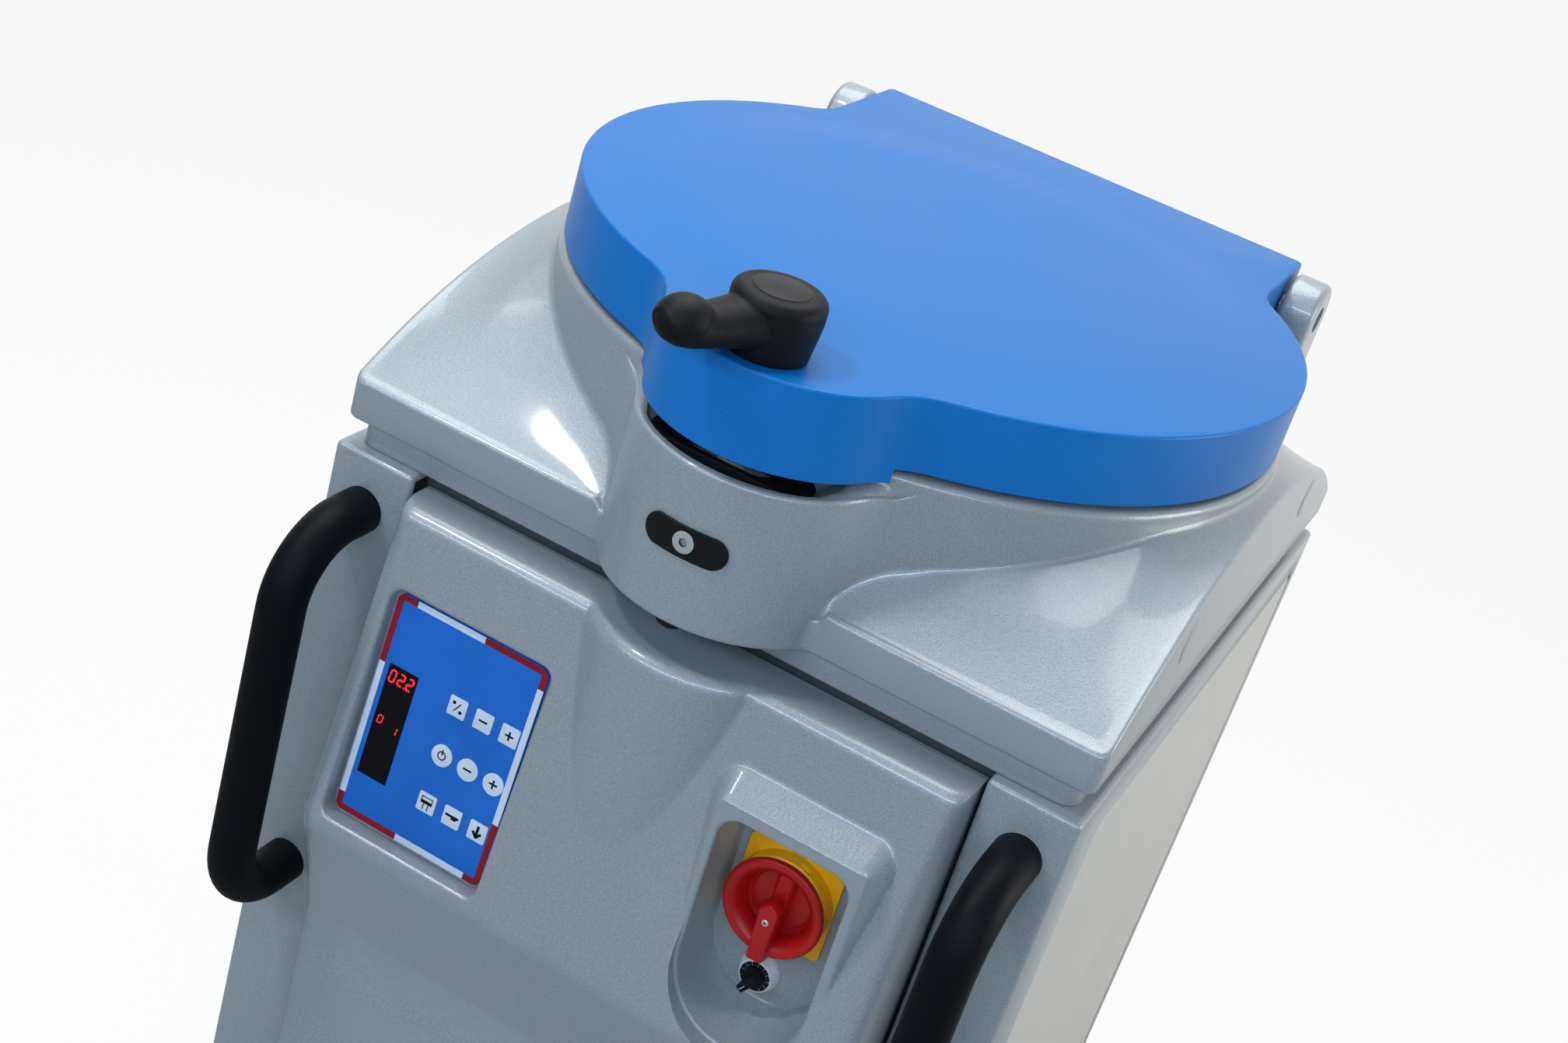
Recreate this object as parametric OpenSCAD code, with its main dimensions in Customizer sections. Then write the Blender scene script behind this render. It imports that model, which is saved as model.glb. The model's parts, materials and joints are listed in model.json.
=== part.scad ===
// Dough divider: a round pan with a blue lid, a rising press and a knife grid that cuts twenty pieces.
// +Z is up and the front faces -Y. The origin is on the floor, below the middle of the part.

/* [Frame] */
// Width over both side frames
frame_w = 553; // [500:1:640]
// Depth of the side frames
frame_depth = 564; // [560:1:640]
// Height of the frame's top edge over the floor
frame_top = 850; // [780:5:950]
// Width of the front and rear posts
post_w = 63; // [55:1:75]
// Thickness of the frame rails
rail_t = 40; // [30:1:50]
// Gap between the floor and the chassis plate
floor_gap = 108; // [106:1:140]
// Thickness of the chassis plate
chassis_t = 12; // [10:1:20]
// Thickness of the side and back panels
panel_t = 3; // [2:0.5:6]
// Seam round each panel
panel_seam = 1.5; // [0.5:0.5:3]

/* [Top cover] */
// Width of the top cover
cover_w = 550; // [520:1:600]
// Height of the cover's lower edge over the frame
skirt_low = 18.8; // [12:0.2:30]
// Height of the shoulders' crest over the frame
crest_z = 127; // [110:1:135]
// Radius of the shoulders' arch
shoulder_r = 499; // [460:1:560]
// Radius of the collar round the pan
collar_r = 262; // [262:0.5:266]
// Height of the collar's rim over the frame
collar_z = 142; // [141:0.5:143]
// Radius of the front nose
nose_r = 87; // [84:0.5:95]
// Height of the nose's rim over the frame
nose_z = 125; // [122:0.5:128]
// Wall of the cover's top
cover_wall = 6; // [4:0.5:8]

/* [Lid] */
// Radius of the lid
lid_r = 260; // [250:1:262]
// Radius of the lid's front lobe
lobe_r = 86; // [80:0.5:90]
// Height of the lid's lower rim over the frame
lid_low = 146.2; // [146:0.2:148]
// Height of the lid
lid_h = 49.3; // [44:0.1:60]
// Half width of the lid's tail
tail_half_w = 185.3; // [170:0.1:186]
// Wall of the lid
lid_wall = 6; // [4:0.5:8]
// Thickness of the lid's top
lid_top_t = 8; // [6:0.5:12]
// Angle of the lever from straight ahead
lever_turn = 24; // [0:1:40]
// Length of the lever
lever_len = 68; // [60:1:75]
// Radius of the lever's ball end
ball_r = 18.5; // [15:0.5:20]

/* [Console] */
// Angle of the console's face
console_tilt = 10; // [6:0.5:12]
// Height of the console's face
console_h = 235; // [225:1:245]
// Reach of the console's top edge in front of the posts
console_out = 18.6; // [16:0.1:22]
// Wall of the front cover
front_wall = 5; // [3:0.5:7]
// Width of the keypad panel
keypad_w = 119.5; // [115:0.5:122]
// Height of the keypad panel
keypad_h = 167; // [162:0.5:169]
// Side of the square keys
key_w = 14; // [11:0.5:16]
// Travel of the keys
key_travel = 0.5; // [0.3:0.1:0.7]
// Side of the switch plate
switch_w = 69; // [60:1:76]
// Radius of the switch knob
knob_r = 35.5; // [30:0.5:37]
// Radius of the dial's bezel
bezel_r = 14.8; // [12:0.1:15.5]

/* [Handles] */
// Diameter of the handle tube
handle_d = 33; // [25:1:38]
// Length between the handle's legs
handle_h = 298; // [240:1:340]
// Reach of the tube's middle line in front of the posts
handle_out = 71; // [62:1:90]
// Radius of the handle's bends
handle_bend_r = 50; // [40:1:60]

/* [Press] */
// Inner radius of the dough pan
pan_r = 200; // [190:1:203]
// Wall of the dough pan
pan_wall = 8; // [5:0.5:8]
// Height of the dough pan
pan_h = 150; // [148:1:150]
// Number of inner press segments
inner_count = 5; // [4:1:6]
// Number of outer press segments for each inner one
outer_ratio = 3; // [2:1:3]
// Thickness of the knives
knife_t = 2; // [1.5:0.1:2.4]
// Slot between the press segments
knife_slot = 3; // [2.8:0.1:4]
// Lift of the press
press_lift = 85; // [60:1:85]
// Lift of the knives over the press
knife_lift = 40; // [20:1:40]

/* [Castors] */
// Diameter of the wheels
wheel_d = 80; // [70:1:82]
// Width of the wheels
wheel_w = 30; // [24:1:34]
// Radius of the wheel axles
axle_r = 5; // [4:0.5:6]

/* [Hidden] */
$fn = 96;

over = 2;             // overrun of cuts
running = 0.05;       // radial gap of turning fits
slip = 0.4;           // gap of loose sliding fits
gap = 1.5;            // open seam between covers and their neighbours

// hinge of the lid
hinge_y = 552;
hinge_z = 166;
hinge_r = 28;
hinge_t = 28;
hinge_gap = 2.7;
pin_r = 10;
pin_in = 6;
boss_r = 21.5;
boss_len = 30;

// lever and its spindle, measured from the spindle's axis and the lid's top
spindle_y = -8;
spindle_r = 9;
hub_r = 29.5;
hub_foot_r = 25;
hub_h = 39.5;
hub_flare_z = 22;
hub_round = 6;
arm_z = 21.5;
arm_root_r = 17;
arm_end_r = 15.5;
arm_dip = 2.5;
lever_gap = 0.5;
cap_r = 19;
cap_t = 1.5;
head_w = 40;
head_d = 12;
head_h = 10;
head_gap = 2;
spindle_boss_r = 18;
spindle_boss_h = 36;

// places that follow from the driving sizes, from the front of the posts and the frame's top
lever_reach = lever_len * cos(lever_turn) + ball_r - spindle_y;
front_reach = max(handle_out + handle_d / 2, lever_reach);
front_y = -(hinge_y + hinge_r - front_reach) / 2;
frame_low = -(frame_top - floor_gap - chassis_t);
frame_h = -frame_low;

// panels in the side frames
panel_front = 60;
panel_rear_edge = 22;
panel_rear = frame_depth - panel_rear_edge;
panel_edge = 30;
panel_lip = 10;
panel_corner = 8;
channel_wall = 4;

// pan and table
pan_y = 275.5;
pan_low = -10;
pan_flange_w = 17;
pan_flange_t = 8;
table_t = 12;
table_hole_gap = 3;
table_edge = 2;
front_bar_d = 28;

// top cover
cover_front = 2;
cover_rear = 562;
cover_corner_r = 8;
cover_inner_r = 3;
skirt_wall = 12;
crest_y = 275;
flare_r = 55;
flare_z = 104;
nose_y = 43;
nose_fillet_r = 60;
nose_wall = 9;
nose_rim = 5;
ledge_z = 116;
rim_gap = 2;
tray_inset = 8;
tray_w = 40;
tray_corner_r = 14;
plug_places = [[134.5, 75], [430.6, 77]];
plug_r = 16;
plug_t = 1.5;
plug_shank_r = 11;

// nose fittings
striker_w = 112;
striker_d = 34;
striker_t = 8;
slot_w = 60;
slot_d = 24;
striker_screw_x = 43;
screw_r = 4;
screw_head_r = 8;
screw_head_h = 4.4;
screw_len = 15;
nose_plate_w = 58;
nose_plate_d = 21;
nose_plate_z = 76;
nose_plate_out = 2;
nose_seat_y = -39;
bumper_r = 9.5;
bumper_h = 7;
bumper_y = -30;

// lid
lobe_y = 44;
lobe_low = 134;
lobe_cut_y = 24;
lobe_fillet_r = 65;
tail_end_y = 578.8;
tail_fillet_r = 50;
tail_cut_y = 540;
tail_low = 158;
lid_top = lid_low + lid_h;
plate_gap = 1.5;
lid_plate_r = 214;
lid_plate_t = 18;
lid_plate_hub_r = 70;

// front cover, as drops below the frame's top
console_gap = 3;
console_half_w = frame_w / 2 - post_w - console_gap;
console_drop = 10;
console_back = 18;
console_top_r = 10;
knee_r = 25;
crease_drop = 340;
crease_out = 27;
crease_r = 25;
lower_out = 24;
cover_low_gap = 7;
chin_low = 200;
chin_back = 14;
arc_steps = 6;
surround_edge = 86.5;
surround_x = console_half_w - surround_edge;
surround_w = 132;
surround_side = 16;
surround_drop = 55;
surround_slope_h = 23;
surround_out = 47;
recess_x = surround_x;
recess_w = 96;
recess_top_drop = 84;
recess_low_drop = 234;
recess_floor = -1;
recess_top_r = 15;
recess_low_r = 34;
pocket_gap = 3;

// keypad, from the panel's upper left corner
keypad_edge = 19.9;
keypad_x = keypad_edge - console_half_w;
keypad_out = 23.6;
keypad_drop = 66.4;
keypad_tilt = 7.8;
keypad_t = 3;
keypad_corner_r = 6;
key_u = 65;
key_v = 55.3;
key_pitch_u = 20.75;
key_pitch_v = 37.25;
key_round_r = 8;
key_t = 2.2;
key_proud = 0.4;
key_gap = 0.3;
display_u = 8.5;
display_v = 50;
display_w = 23.5;
display_h = 84.4;
display_t = 1.5;

// switch and dial
switch_shift = 4.8;
switch_x = recess_x - switch_shift;
switch_drop = 147;
switch_t = 2.5;
switch_corner_r = 4;
collar_out_r = 34;
collar_in_r = 27;
collar_h = 14;
knob_rim_h = 5.5;
dish_r = 30;
dish_floor_r = 22;
dish_depth = 11;
grip_half_w = 6.6;
grip_end_half_w = 5.4;
grip_up = 5.6;
grip_shoulder = 0.6;
grip_down = 39.6;
grip_h = 4;
dial_drop = 211;
bezel_h = 8;
bezel_lip = 2.3;
bezel_sink = 1;
dial_r = 7.5;
dial_h = 9;
dial_pin_r = 3;
pointer_w = 5;
pointer_h = 5;
dial_turn = 125;

// handles
handle_in_x = 29.5;
handle_x = frame_w / 2 - handle_in_x;
handle_drop = 40;

// press, as drops below the frame's top
segment_gap = 0.5;
segment_r = pan_r - segment_gap;
segment_top = 10;
segment_t = 20;
ring_r = 100;
hub_gap_r = 8;
pillar_r = 9;
pillar_end = -80;
inner_pillar_r = 60;
outer_pillar_r = 150;
carrier_r = 190;
carrier_t = 15;
knife_top = 8;
knife_low = -60;
knife_edge = 2;
knife_ring_w = 10;
knife_ring_t = 12;
knife_hub_r = 6;
rod_r = 8;
rod_pad_r = 14;
rod_end = -160;
knife_cyl_r = 22;
knife_cyl_low = -175;
knife_cyl_floor = 5;
press_rod_r = 20;
piston_r = 35;
piston_t = 25;
piston_gap = 15;
cylinder_r = 45;
cylinder_top = -150;
cylinder_len = 210;
cylinder_low = cylinder_top - cylinder_len;
piston_low = cylinder_low + piston_gap;
cylinder_head = 15;
cylinder_floor = 10;
stand_r = 40;
stand_wall = 6;
stand_plate_r = 70;
stand_plate_t = 12;

// drive and electrics on the chassis
side_gap = 8.5;
tank_size = [130, 300, 220];
tank_y = 130;
tank_place = [side_gap + post_w - frame_w / 2, tank_y];
tank_wall = 4;
motor_r = 60;
motor_h = 190;
tank_lid_t = 8;
box_size = [125, 200, 320];
box_x = frame_w / 2 - post_w - side_gap - box_size[0];
box_wall = 2;
gland_in_x = 136.5;
gland_x = frame_w / 2 - gland_in_x;
gland_drop = 640;
gland_r = 11;
gland_nut_r = 15;
gland_nut_t = 7;
gland_bore_r = 6;
gland_out = 14;
gland_in = 12;
back_inset = 8;
back_y = frame_depth - back_inset;

// castors
castor_in_x = 62;
castor_in_y = 70;
castor_plate_w = 90;
castor_plate_t = 4;
cup_r = 24;
cup_h = 8;
kingpin_r = 6;
kingpin_gap = 0.5;
crown_t = 5;
crown_r = 26;
leg_t = 4;
leg_gap = 2;
leg_eye_r = 14;
trail = 28;
tyre_round = 5;
hub_w_gap = 1;
wheel_hub_r = 14;
wheel_web_w = 14;
wheel_rim_r = 31;
axle_head_r = 8;
axle_head_t = 4;
crown_z = floor_gap - castor_plate_t - cup_h - kingpin_gap - crown_t;

// lays a piece from the front of the posts and the frame's top
module seat() {
  translate([0, front_y, frame_top]) children();
}

module both_sides() {
  children();
  mirror([1, 0, 0]) children();
}

module rounded_rect(w, d, r) {
  square([w - 2 * r, d], center = true);
  square([w, d - 2 * r], center = true);
  for (x = [-1, 1], y = [-1, 1])
    translate([x * (w / 2 - r), y * (d / 2 - r)]) circle(r);
}

module stadium(w, d) {
  square([w - d, d], center = true);
  for (x = [-1, 1]) translate([x * (w - d) / 2, 0]) circle(d / 2);
}

// fillet centre beside two circles that both sit on the middle line
function blend_centre(y1, r1, y2, r2) =
  let (y = (r1 * r1 - r2 * r2 + y2 * y2 - y1 * y1) / (2 * (y2 - y1)))
  [sqrt(r1 * r1 - (y - y1) * (y - y1)), y];

// two circles on the middle line with a concave fillet on each side
module blended(y1, r1, y2, r2, r) {
  centre = blend_centre(y1, r1 + r, y2, r2 + r);
  translate([0, y1]) circle(r1);
  translate([0, y2]) circle(r2);
  both_sides() difference() {
    polygon([[0, y1], centre, [0, y2]]);
    translate(centre) circle(r);
  }
}

function unit(v) = v / norm(v);

// arc that rounds the corner b between a and c
function corner(a, b, c, r) =
  let (u = unit(a - b), v = unit(c - b), half = acos(u * v) / 2,
    centre = b + unit(u + v) * r / sin(half),
    p = b + u * r / tan(half) - centre, q = b + v * r / tan(half) - centre)
  [for (i = [0:arc_steps]) centre + unit(p * (arc_steps - i) + q * i) * r];

// side profile to a solid that is w wide
module across(w) {
  rotate([90, 0, 90]) linear_extrude(w, center = true) children();
}

// front view to a solid that reaches d to the front
module forward(d) {
  rotate([90, 0, 0]) linear_extrude(d) children();
}

module screw() {
  rotate([180, 0, 0]) {
    cylinder(r1 = screw_head_r, r2 = screw_r, h = screw_head_h);
    cylinder(r = screw_r, h = screw_len);
  }
}

module screw_hole() {
  rotate([180, 0, 0]) {
    cylinder(r1 = screw_head_r + running, r2 = screw_r + running, h = screw_head_h);
    cylinder(r = screw_r + running, h = screw_len + over);
    translate([0, 0, -over]) cylinder(r = screw_head_r + running, h = over);
  }
}

module chassis() {
  color("DimGray") translate([-frame_w / 2, front_y, floor_gap])
    cube([frame_w, frame_depth, chassis_t]);
}

module side_frame() {
  post_d = panel_front + panel_lip;
  rail_h = panel_edge + panel_lip;
  rear_d = frame_depth - panel_rear + panel_lip;
  difference() {
    union() {
      translate([frame_w / 2 - post_w, 0, frame_low]) cube([post_w, post_d, frame_h]);
      translate([frame_w / 2 - post_w, frame_depth - rear_d, frame_low])
        cube([post_w, rear_d, frame_h]);
      for (z = [frame_low, -rail_h])
        translate([frame_w / 2 - rail_t, 0, z]) cube([rail_t, frame_depth, rail_h]);
    }
    translate([frame_w / 2 - panel_t, panel_front, frame_low + panel_edge])
      cube([panel_t + over, panel_rear - panel_front, frame_h - 2 * panel_edge]);
    channel_hollow(0, post_d);
    channel_hollow(frame_depth - rear_d, rear_d);
  }
}

// inside of a post that is folded from sheet, open towards the middle
module channel_hollow(y, d) {
  w = post_w - panel_t - channel_wall;
  translate([frame_w / 2 - post_w - over, y + channel_wall, frame_low + channel_wall])
    cube([w + over, d - 2 * channel_wall, frame_h - 2 * channel_wall]);
}

module left_side_frame() {
  color("Silver") seat() mirror([1, 0, 0]) side_frame();
}

module right_side_frame() {
  color("Silver") seat() side_frame();
}

module side_panel() {
  y0 = panel_front + panel_seam;
  y1 = panel_rear - panel_seam;
  z0 = frame_low + panel_edge + panel_seam;
  z1 = -panel_edge - panel_seam;
  c = panel_corner;
  translate([frame_w / 2 - panel_t / 2, 0, 0]) across(panel_t)
    polygon([[y0 + c, z0], [y1 - c, z0], [y1, z0 + c], [y1, z1 - c],
      [y1 - c, z1], [y0 + c, z1], [y0, z1 - c], [y0, z0 + c]]);
}

module left_side_panel() {
  color("Gainsboro") seat() mirror([1, 0, 0]) side_panel();
}

module right_side_panel() {
  color("Gainsboro") seat() side_panel();
}

module back_panel() {
  w = frame_w - 2 * post_w - 2 * gap;
  color("Gainsboro") seat() difference() {
    translate([-w / 2, back_y, frame_low]) cube([w, panel_t, frame_h - gap]);
    translate([gland_x, back_y - over, -gland_drop]) rotate([-90, 0, 0])
      cylinder(r = gland_r + running, h = panel_t + 2 * over);
  }
}

module pan_table() {
  y0 = panel_front + panel_lip + table_edge;
  y1 = panel_rear - panel_lip - table_edge;
  w = frame_w - 2 * rail_t;
  bar_w = frame_w - 2 * post_w;
  bar_y = console_back + gap;
  color("DimGray") seat() difference() {
    union() {
      translate([-w / 2, y0, pan_low - table_t]) cube([w, y1 - y0, table_t]);
      translate([-bar_w / 2, bar_y, pan_low - table_t]) cube([bar_w, y0 - bar_y, table_t]);
      translate([-bar_w / 2, bar_y, pan_low - table_t]) cube([bar_w, front_bar_d, table_t - pan_low]);
    }
    translate([0, pan_y, pan_low - table_t - over])
      cylinder(r = pan_r + table_hole_gap, h = table_t + 2 * over);
  }
}

module dough_pan() {
  color("LightGray") seat() translate([0, pan_y, pan_low]) difference() {
    union() {
      cylinder(r = pan_r + pan_wall, h = pan_h);
      cylinder(r = pan_r + pan_wall + pan_flange_w, h = pan_flange_t);
    }
    translate([0, 0, -over]) cylinder(r = pan_r, h = pan_h + 2 * over);
  }
}

module cover_plan(inset) {
  translate([0, (cover_front + cover_rear) / 2])
    rounded_rect(cover_w - 2 * inset, cover_rear - cover_front - 2 * inset,
      max(cover_corner_r - inset, cover_inner_r));
}

// arched shoulders, flared collar; the inset copy is the hollow
module cover_form(inset, edge, low) {
  intersection() {
    translate([0, 0, low]) linear_extrude(collar_z) cover_plan(edge);
    union() {
      translate([0, crest_y, crest_z - shoulder_r]) rotate([0, 90, 0])
        cylinder(r = shoulder_r - inset, h = cover_w, center = true);
      translate([0, pan_y, 0]) rotate_extrude() difference() {
        translate([0, low]) square([collar_r + flare_r, flare_z - low]);
        translate([collar_r + flare_r, flare_z]) circle(flare_r + inset);
      }
    }
  }
  translate([0, pan_y, low]) cylinder(r = collar_r - inset, h = collar_z - inset - low);
}

module nose_outline(inset) {
  blended(nose_y, nose_r - inset, pan_y, collar_r - inset, nose_fillet_r + inset);
}

module top_cover() {
  color("LightSlateGray") seat() difference() {
    union() {
      cover_form(0, 0, skirt_low);
      translate([0, 0, skirt_low]) linear_extrude(nose_z - skirt_low) nose_outline(0);
    }
    cover_form(cover_wall, skirt_wall, skirt_low - over);
    translate([0, 0, skirt_low + cover_wall])
      linear_extrude(ledge_z - skirt_low - 2 * cover_wall) nose_outline(nose_wall);
    translate([0, 0, ledge_z]) linear_extrude(nose_z) difference() {
      nose_outline(nose_rim);
      translate([0, pan_y]) circle(collar_r);
    }
    translate([0, pan_y, collar_z - over - cover_wall])
      cylinder(r = pan_r + pan_wall + rim_gap, h = cover_wall + 2 * over);
    translate([0, spindle_y, ledge_z - cover_wall - over])
      linear_extrude(cover_wall + 2 * over) stadium(slot_w, slot_d);
    for (x = [-1, 1])
      translate([x * striker_screw_x, spindle_y, ledge_z + striker_t]) screw_hole();
    translate([0, nose_seat_y, nose_plate_z]) forward(nose_r)
      stadium(nose_plate_w + slip, nose_plate_d + slip);
    translate([0, nose_y - nose_r - nose_plate_out, nose_plate_z]) rotate([90, 0, 0]) screw_hole();
    both_sides() translate([hinge_x() - gap, hinge_y - hinge_r - gap, 0])
      cube([hinge_t + 2 * gap, cover_rear, collar_z - over]);
    for (side = [-1, 1], place = plug_places)
      translate([side * cover_w / 2, place[0], place[1]]) rotate([0, side * -90, 0])
        cylinder(r = plug_shank_r + running, h = skirt_wall + over);
  }
}

function hinge_x() = tail_half_w + hinge_gap;

module cover_tray() {
  w = cover_w - 2 * tray_inset;
  d = cover_rear - cover_front - 2 * tray_inset;
  color("SlateGray") seat() translate([0, (cover_front + cover_rear) / 2, 0])
    linear_extrude(skirt_low) difference() {
      rounded_rect(w, d, tray_corner_r);
      rounded_rect(w - 2 * tray_w, d - 2 * tray_w, tray_corner_r);
      translate([0, pan_y - (cover_front + cover_rear) / 2]) circle(pan_r + pan_wall + rim_gap);
    }
}

module cover_plugs() {
  color("SlateGray") seat() for (side = [-1, 1], place = plug_places)
    translate([side * cover_w / 2, place[0], place[1]]) rotate([0, side * -90, 0]) {
      translate([0, 0, -plug_t]) cylinder(r = plug_r, h = plug_t);
      cylinder(r = plug_shank_r, h = skirt_wall);
    }
}

module striker_plate() {
  color("Black") seat() difference() {
    translate([0, spindle_y, ledge_z]) linear_extrude(striker_t) difference() {
      stadium(striker_w, striker_d);
      stadium(slot_w, slot_d);
    }
    for (x = [-1, 1])
      translate([x * striker_screw_x, spindle_y, ledge_z + striker_t]) screw_hole();
  }
}

module cover_screws() {
  color("DarkGray") seat() {
    for (x = [-1, 1])
      translate([x * striker_screw_x, spindle_y, ledge_z + striker_t]) screw();
    translate([0, nose_y - nose_r - nose_plate_out, nose_plate_z]) rotate([90, 0, 0]) screw();
  }
}

module nose_plate() {
  color("Black") seat() difference() {
    intersection() {
      translate([0, nose_seat_y, nose_plate_z]) forward(nose_r) stadium(nose_plate_w, nose_plate_d);
      translate([0, nose_y, 0]) cylinder(r = nose_r + nose_plate_out, h = nose_z);
    }
    translate([0, nose_y - nose_r - nose_plate_out, nose_plate_z]) rotate([90, 0, 0]) screw_hole();
  }
}

module nose_bumper() {
  color("Black") seat() translate([0, bumper_y, skirt_low - bumper_h])
    cylinder(r = bumper_r, h = bumper_h);
}

module hinge_block() {
  difference() {
    translate([hinge_x() + hinge_t / 2, 0, 0]) across(hinge_t) union() {
      translate([hinge_y, hinge_z]) circle(hinge_r);
      translate([hinge_y - hinge_r, skirt_low]) square([2 * hinge_r, hinge_z - skirt_low]);
    }
    translate([hinge_x() - over, hinge_y, hinge_z]) rotate([0, 90, 0])
      cylinder(r = pin_r + running, h = hinge_t + 2 * over);
  }
}

module left_hinge_block() {
  color("LightSlateGray") seat() mirror([1, 0, 0]) hinge_block();
}

module right_hinge_block() {
  color("LightSlateGray") seat() hinge_block();
}

module hinge_bolts() {
  color("DarkGray") seat() both_sides()
    translate([tail_half_w - boss_len, hinge_y, hinge_z]) rotate([0, 90, 0])
      cylinder(r = pin_r, h = boss_len + hinge_gap + hinge_t - pin_in);
}

module lid_outline(inset) {
  half = tail_half_w - inset;
  r = tail_fillet_r + inset;
  reach = lid_r + tail_fillet_r;
  y = pan_y + sqrt(reach * reach - (half + r) * (half + r));
  blended(lobe_y, lobe_r - inset, pan_y, lid_r - inset, lobe_fillet_r + inset);
  translate([-half, pan_y]) square([2 * half, tail_end_y - inset - pan_y]);
  both_sides() difference() {
    polygon([[0, pan_y], [half + r, y], [0, y]]);
    translate([half + r, y]) circle(r);
  }
}

module lid() {
  color("SteelBlue") seat() difference() {
    union() {
      difference() {
        union() {
          translate([0, 0, lid_low]) linear_extrude(lid_h) lid_outline(0);
          translate([0, 0, lobe_low]) linear_extrude(lid_h) intersection() {
            lid_outline(0);
            translate([-lobe_r, lobe_cut_y - 2 * lobe_r]) square(2 * lobe_r);
          }
        }
        translate([0, 0, lobe_low - over])
          linear_extrude(lid_top - lid_top_t - lobe_low + over) lid_outline(lid_wall);
        translate([-lid_r, tail_cut_y, lid_low - over])
          cube([2 * lid_r, lid_r, tail_low - lid_low + over]);
      }
      translate([0, spindle_y, lid_top - spindle_boss_h])
        cylinder(r = spindle_boss_r, h = spindle_boss_h - lid_top_t);
      both_sides() translate([tail_half_w - boss_len, hinge_y, hinge_z]) rotate([0, 90, 0])
        cylinder(r = boss_r, h = boss_len);
    }
    translate([0, spindle_y, lobe_low]) cylinder(r = spindle_r + running, h = lid_top - lobe_low + over);
    both_sides() translate([tail_half_w - boss_len - over, hinge_y, hinge_z]) rotate([0, 90, 0])
      cylinder(r = pin_r + running, h = boss_len + 2 * over);
  }
}

module lid_plate() {
  low = collar_z + plate_gap;
  color("LightGray") seat() translate([0, pan_y, low]) {
    cylinder(r = lid_plate_r, h = lid_plate_t);
    cylinder(r = lid_plate_hub_r, h = lid_top - lid_top_t - low);
  }
}

module on_lever() {
  translate([0, spindle_y, lid_top + lever_gap]) rotate([0, 0, -lever_turn]) children();
}

module lock_lever() {
  color("Black") seat() on_lever() {
    rotate_extrude() polygon([[0, 0], [hub_foot_r, 0], [hub_r, hub_flare_z],
      [hub_r, hub_h - hub_round], [hub_r - hub_round, hub_h], [0, hub_h]]);
    translate([0, 0, arm_z]) rotate([90 + arm_dip, 0, 0])
      cylinder(r1 = arm_root_r, r2 = arm_end_r, h = lever_len);
    translate([0, -lever_len, arm_z]) sphere(ball_r);
  }
}

module lever_cap() {
  color("DarkSlateGray") seat() on_lever() translate([0, 0, hub_h]) cylinder(r = cap_r, h = cap_t);
}

module lock_spindle() {
  top = ledge_z - cover_wall - head_gap;
  color("DarkGray") seat() translate([0, spindle_y, 0]) {
    translate([0, 0, top - head_h]) cylinder(r = spindle_r, h = lid_top + lever_gap - top + head_h);
    translate([-head_w / 2, -head_d / 2, top - head_h]) cube([head_w, head_d, head_h]);
  }
}

// side profile of the front cover, with its corners rounded
function console_y(drop) = -console_out - (drop - console_drop) * tan(console_tilt);

function console_profile() =
  let (knee = console_drop + console_h,
    a = [console_back, -console_drop],
    b = [console_y(console_drop), -console_drop],
    c = [console_y(knee), -knee],
    d = [-crease_out, -crease_drop],
    e = [-lower_out, frame_low + cover_low_gap],
    f = [console_back, frame_low + cover_low_gap])
  concat([a], corner(a, b, c, console_top_r), corner(b, c, d, knee_r), corner(c, d, e, crease_r), [e, f]);

module chin(inset) {
  intersection() {
    translate([0, nose_y, -chin_low]) cylinder(r = nose_r - inset, h = chin_low - console_drop - inset);
    translate([-nose_r, -nose_r, -chin_low]) cube([2 * nose_r, nose_r + chin_back, chin_low]);
  }
}

// raised frame round the switch recess
module surround() {
  top = -surround_drop;
  y0 = console_y(surround_drop);
  low_drop = console_drop + (surround_out - console_out) / tan(console_tilt);
  half = surround_w / 2;
  translate([surround_x, 0, 0]) intersection() {
    across(surround_w) polygon([[y0, top], [-surround_out, top - surround_slope_h],
      [-surround_out, -low_drop], [y0, -low_drop]]);
    translate([0, 0, -low_drop - over]) linear_extrude(low_drop)
      polygon([[-half, recess_floor], [-half, y0], [surround_side - half, -surround_out],
        [half - surround_side, -surround_out], [half, y0], [half, recess_floor]]);
  }
}

module front_outer() {
  across(2 * console_half_w) polygon(console_profile());
  chin(0);
  surround();
}

// recess outline from its lower edge, with small upper and large lower corners
module recess_outline(w, h, top_r, low_r) {
  translate([-w / 2, low_r]) square([w, h - low_r - top_r]);
  translate([-w / 2 + top_r, h - top_r]) square([w - 2 * top_r, top_r]);
  translate([-w / 2 + low_r, 0]) square([w - 2 * low_r, low_r]);
  for (x = [-1, 1]) {
    translate([x * (w / 2 - top_r), h - top_r]) circle(top_r);
    translate([x * (w / 2 - low_r), low_r]) circle(low_r);
  }
}

// keypad's upper left corner: X to the right, Z up the panel, -Y to the front
module on_keypad() {
  translate([keypad_x, -keypad_out, -keypad_drop]) rotate([-keypad_tilt, 0, 0]) children();
}

module keypad_outline(grow) {
  translate([keypad_w / 2, -keypad_h / 2])
    rounded_rect(keypad_w + 2 * grow, keypad_h + 2 * grow, keypad_corner_r + grow);
}

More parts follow.
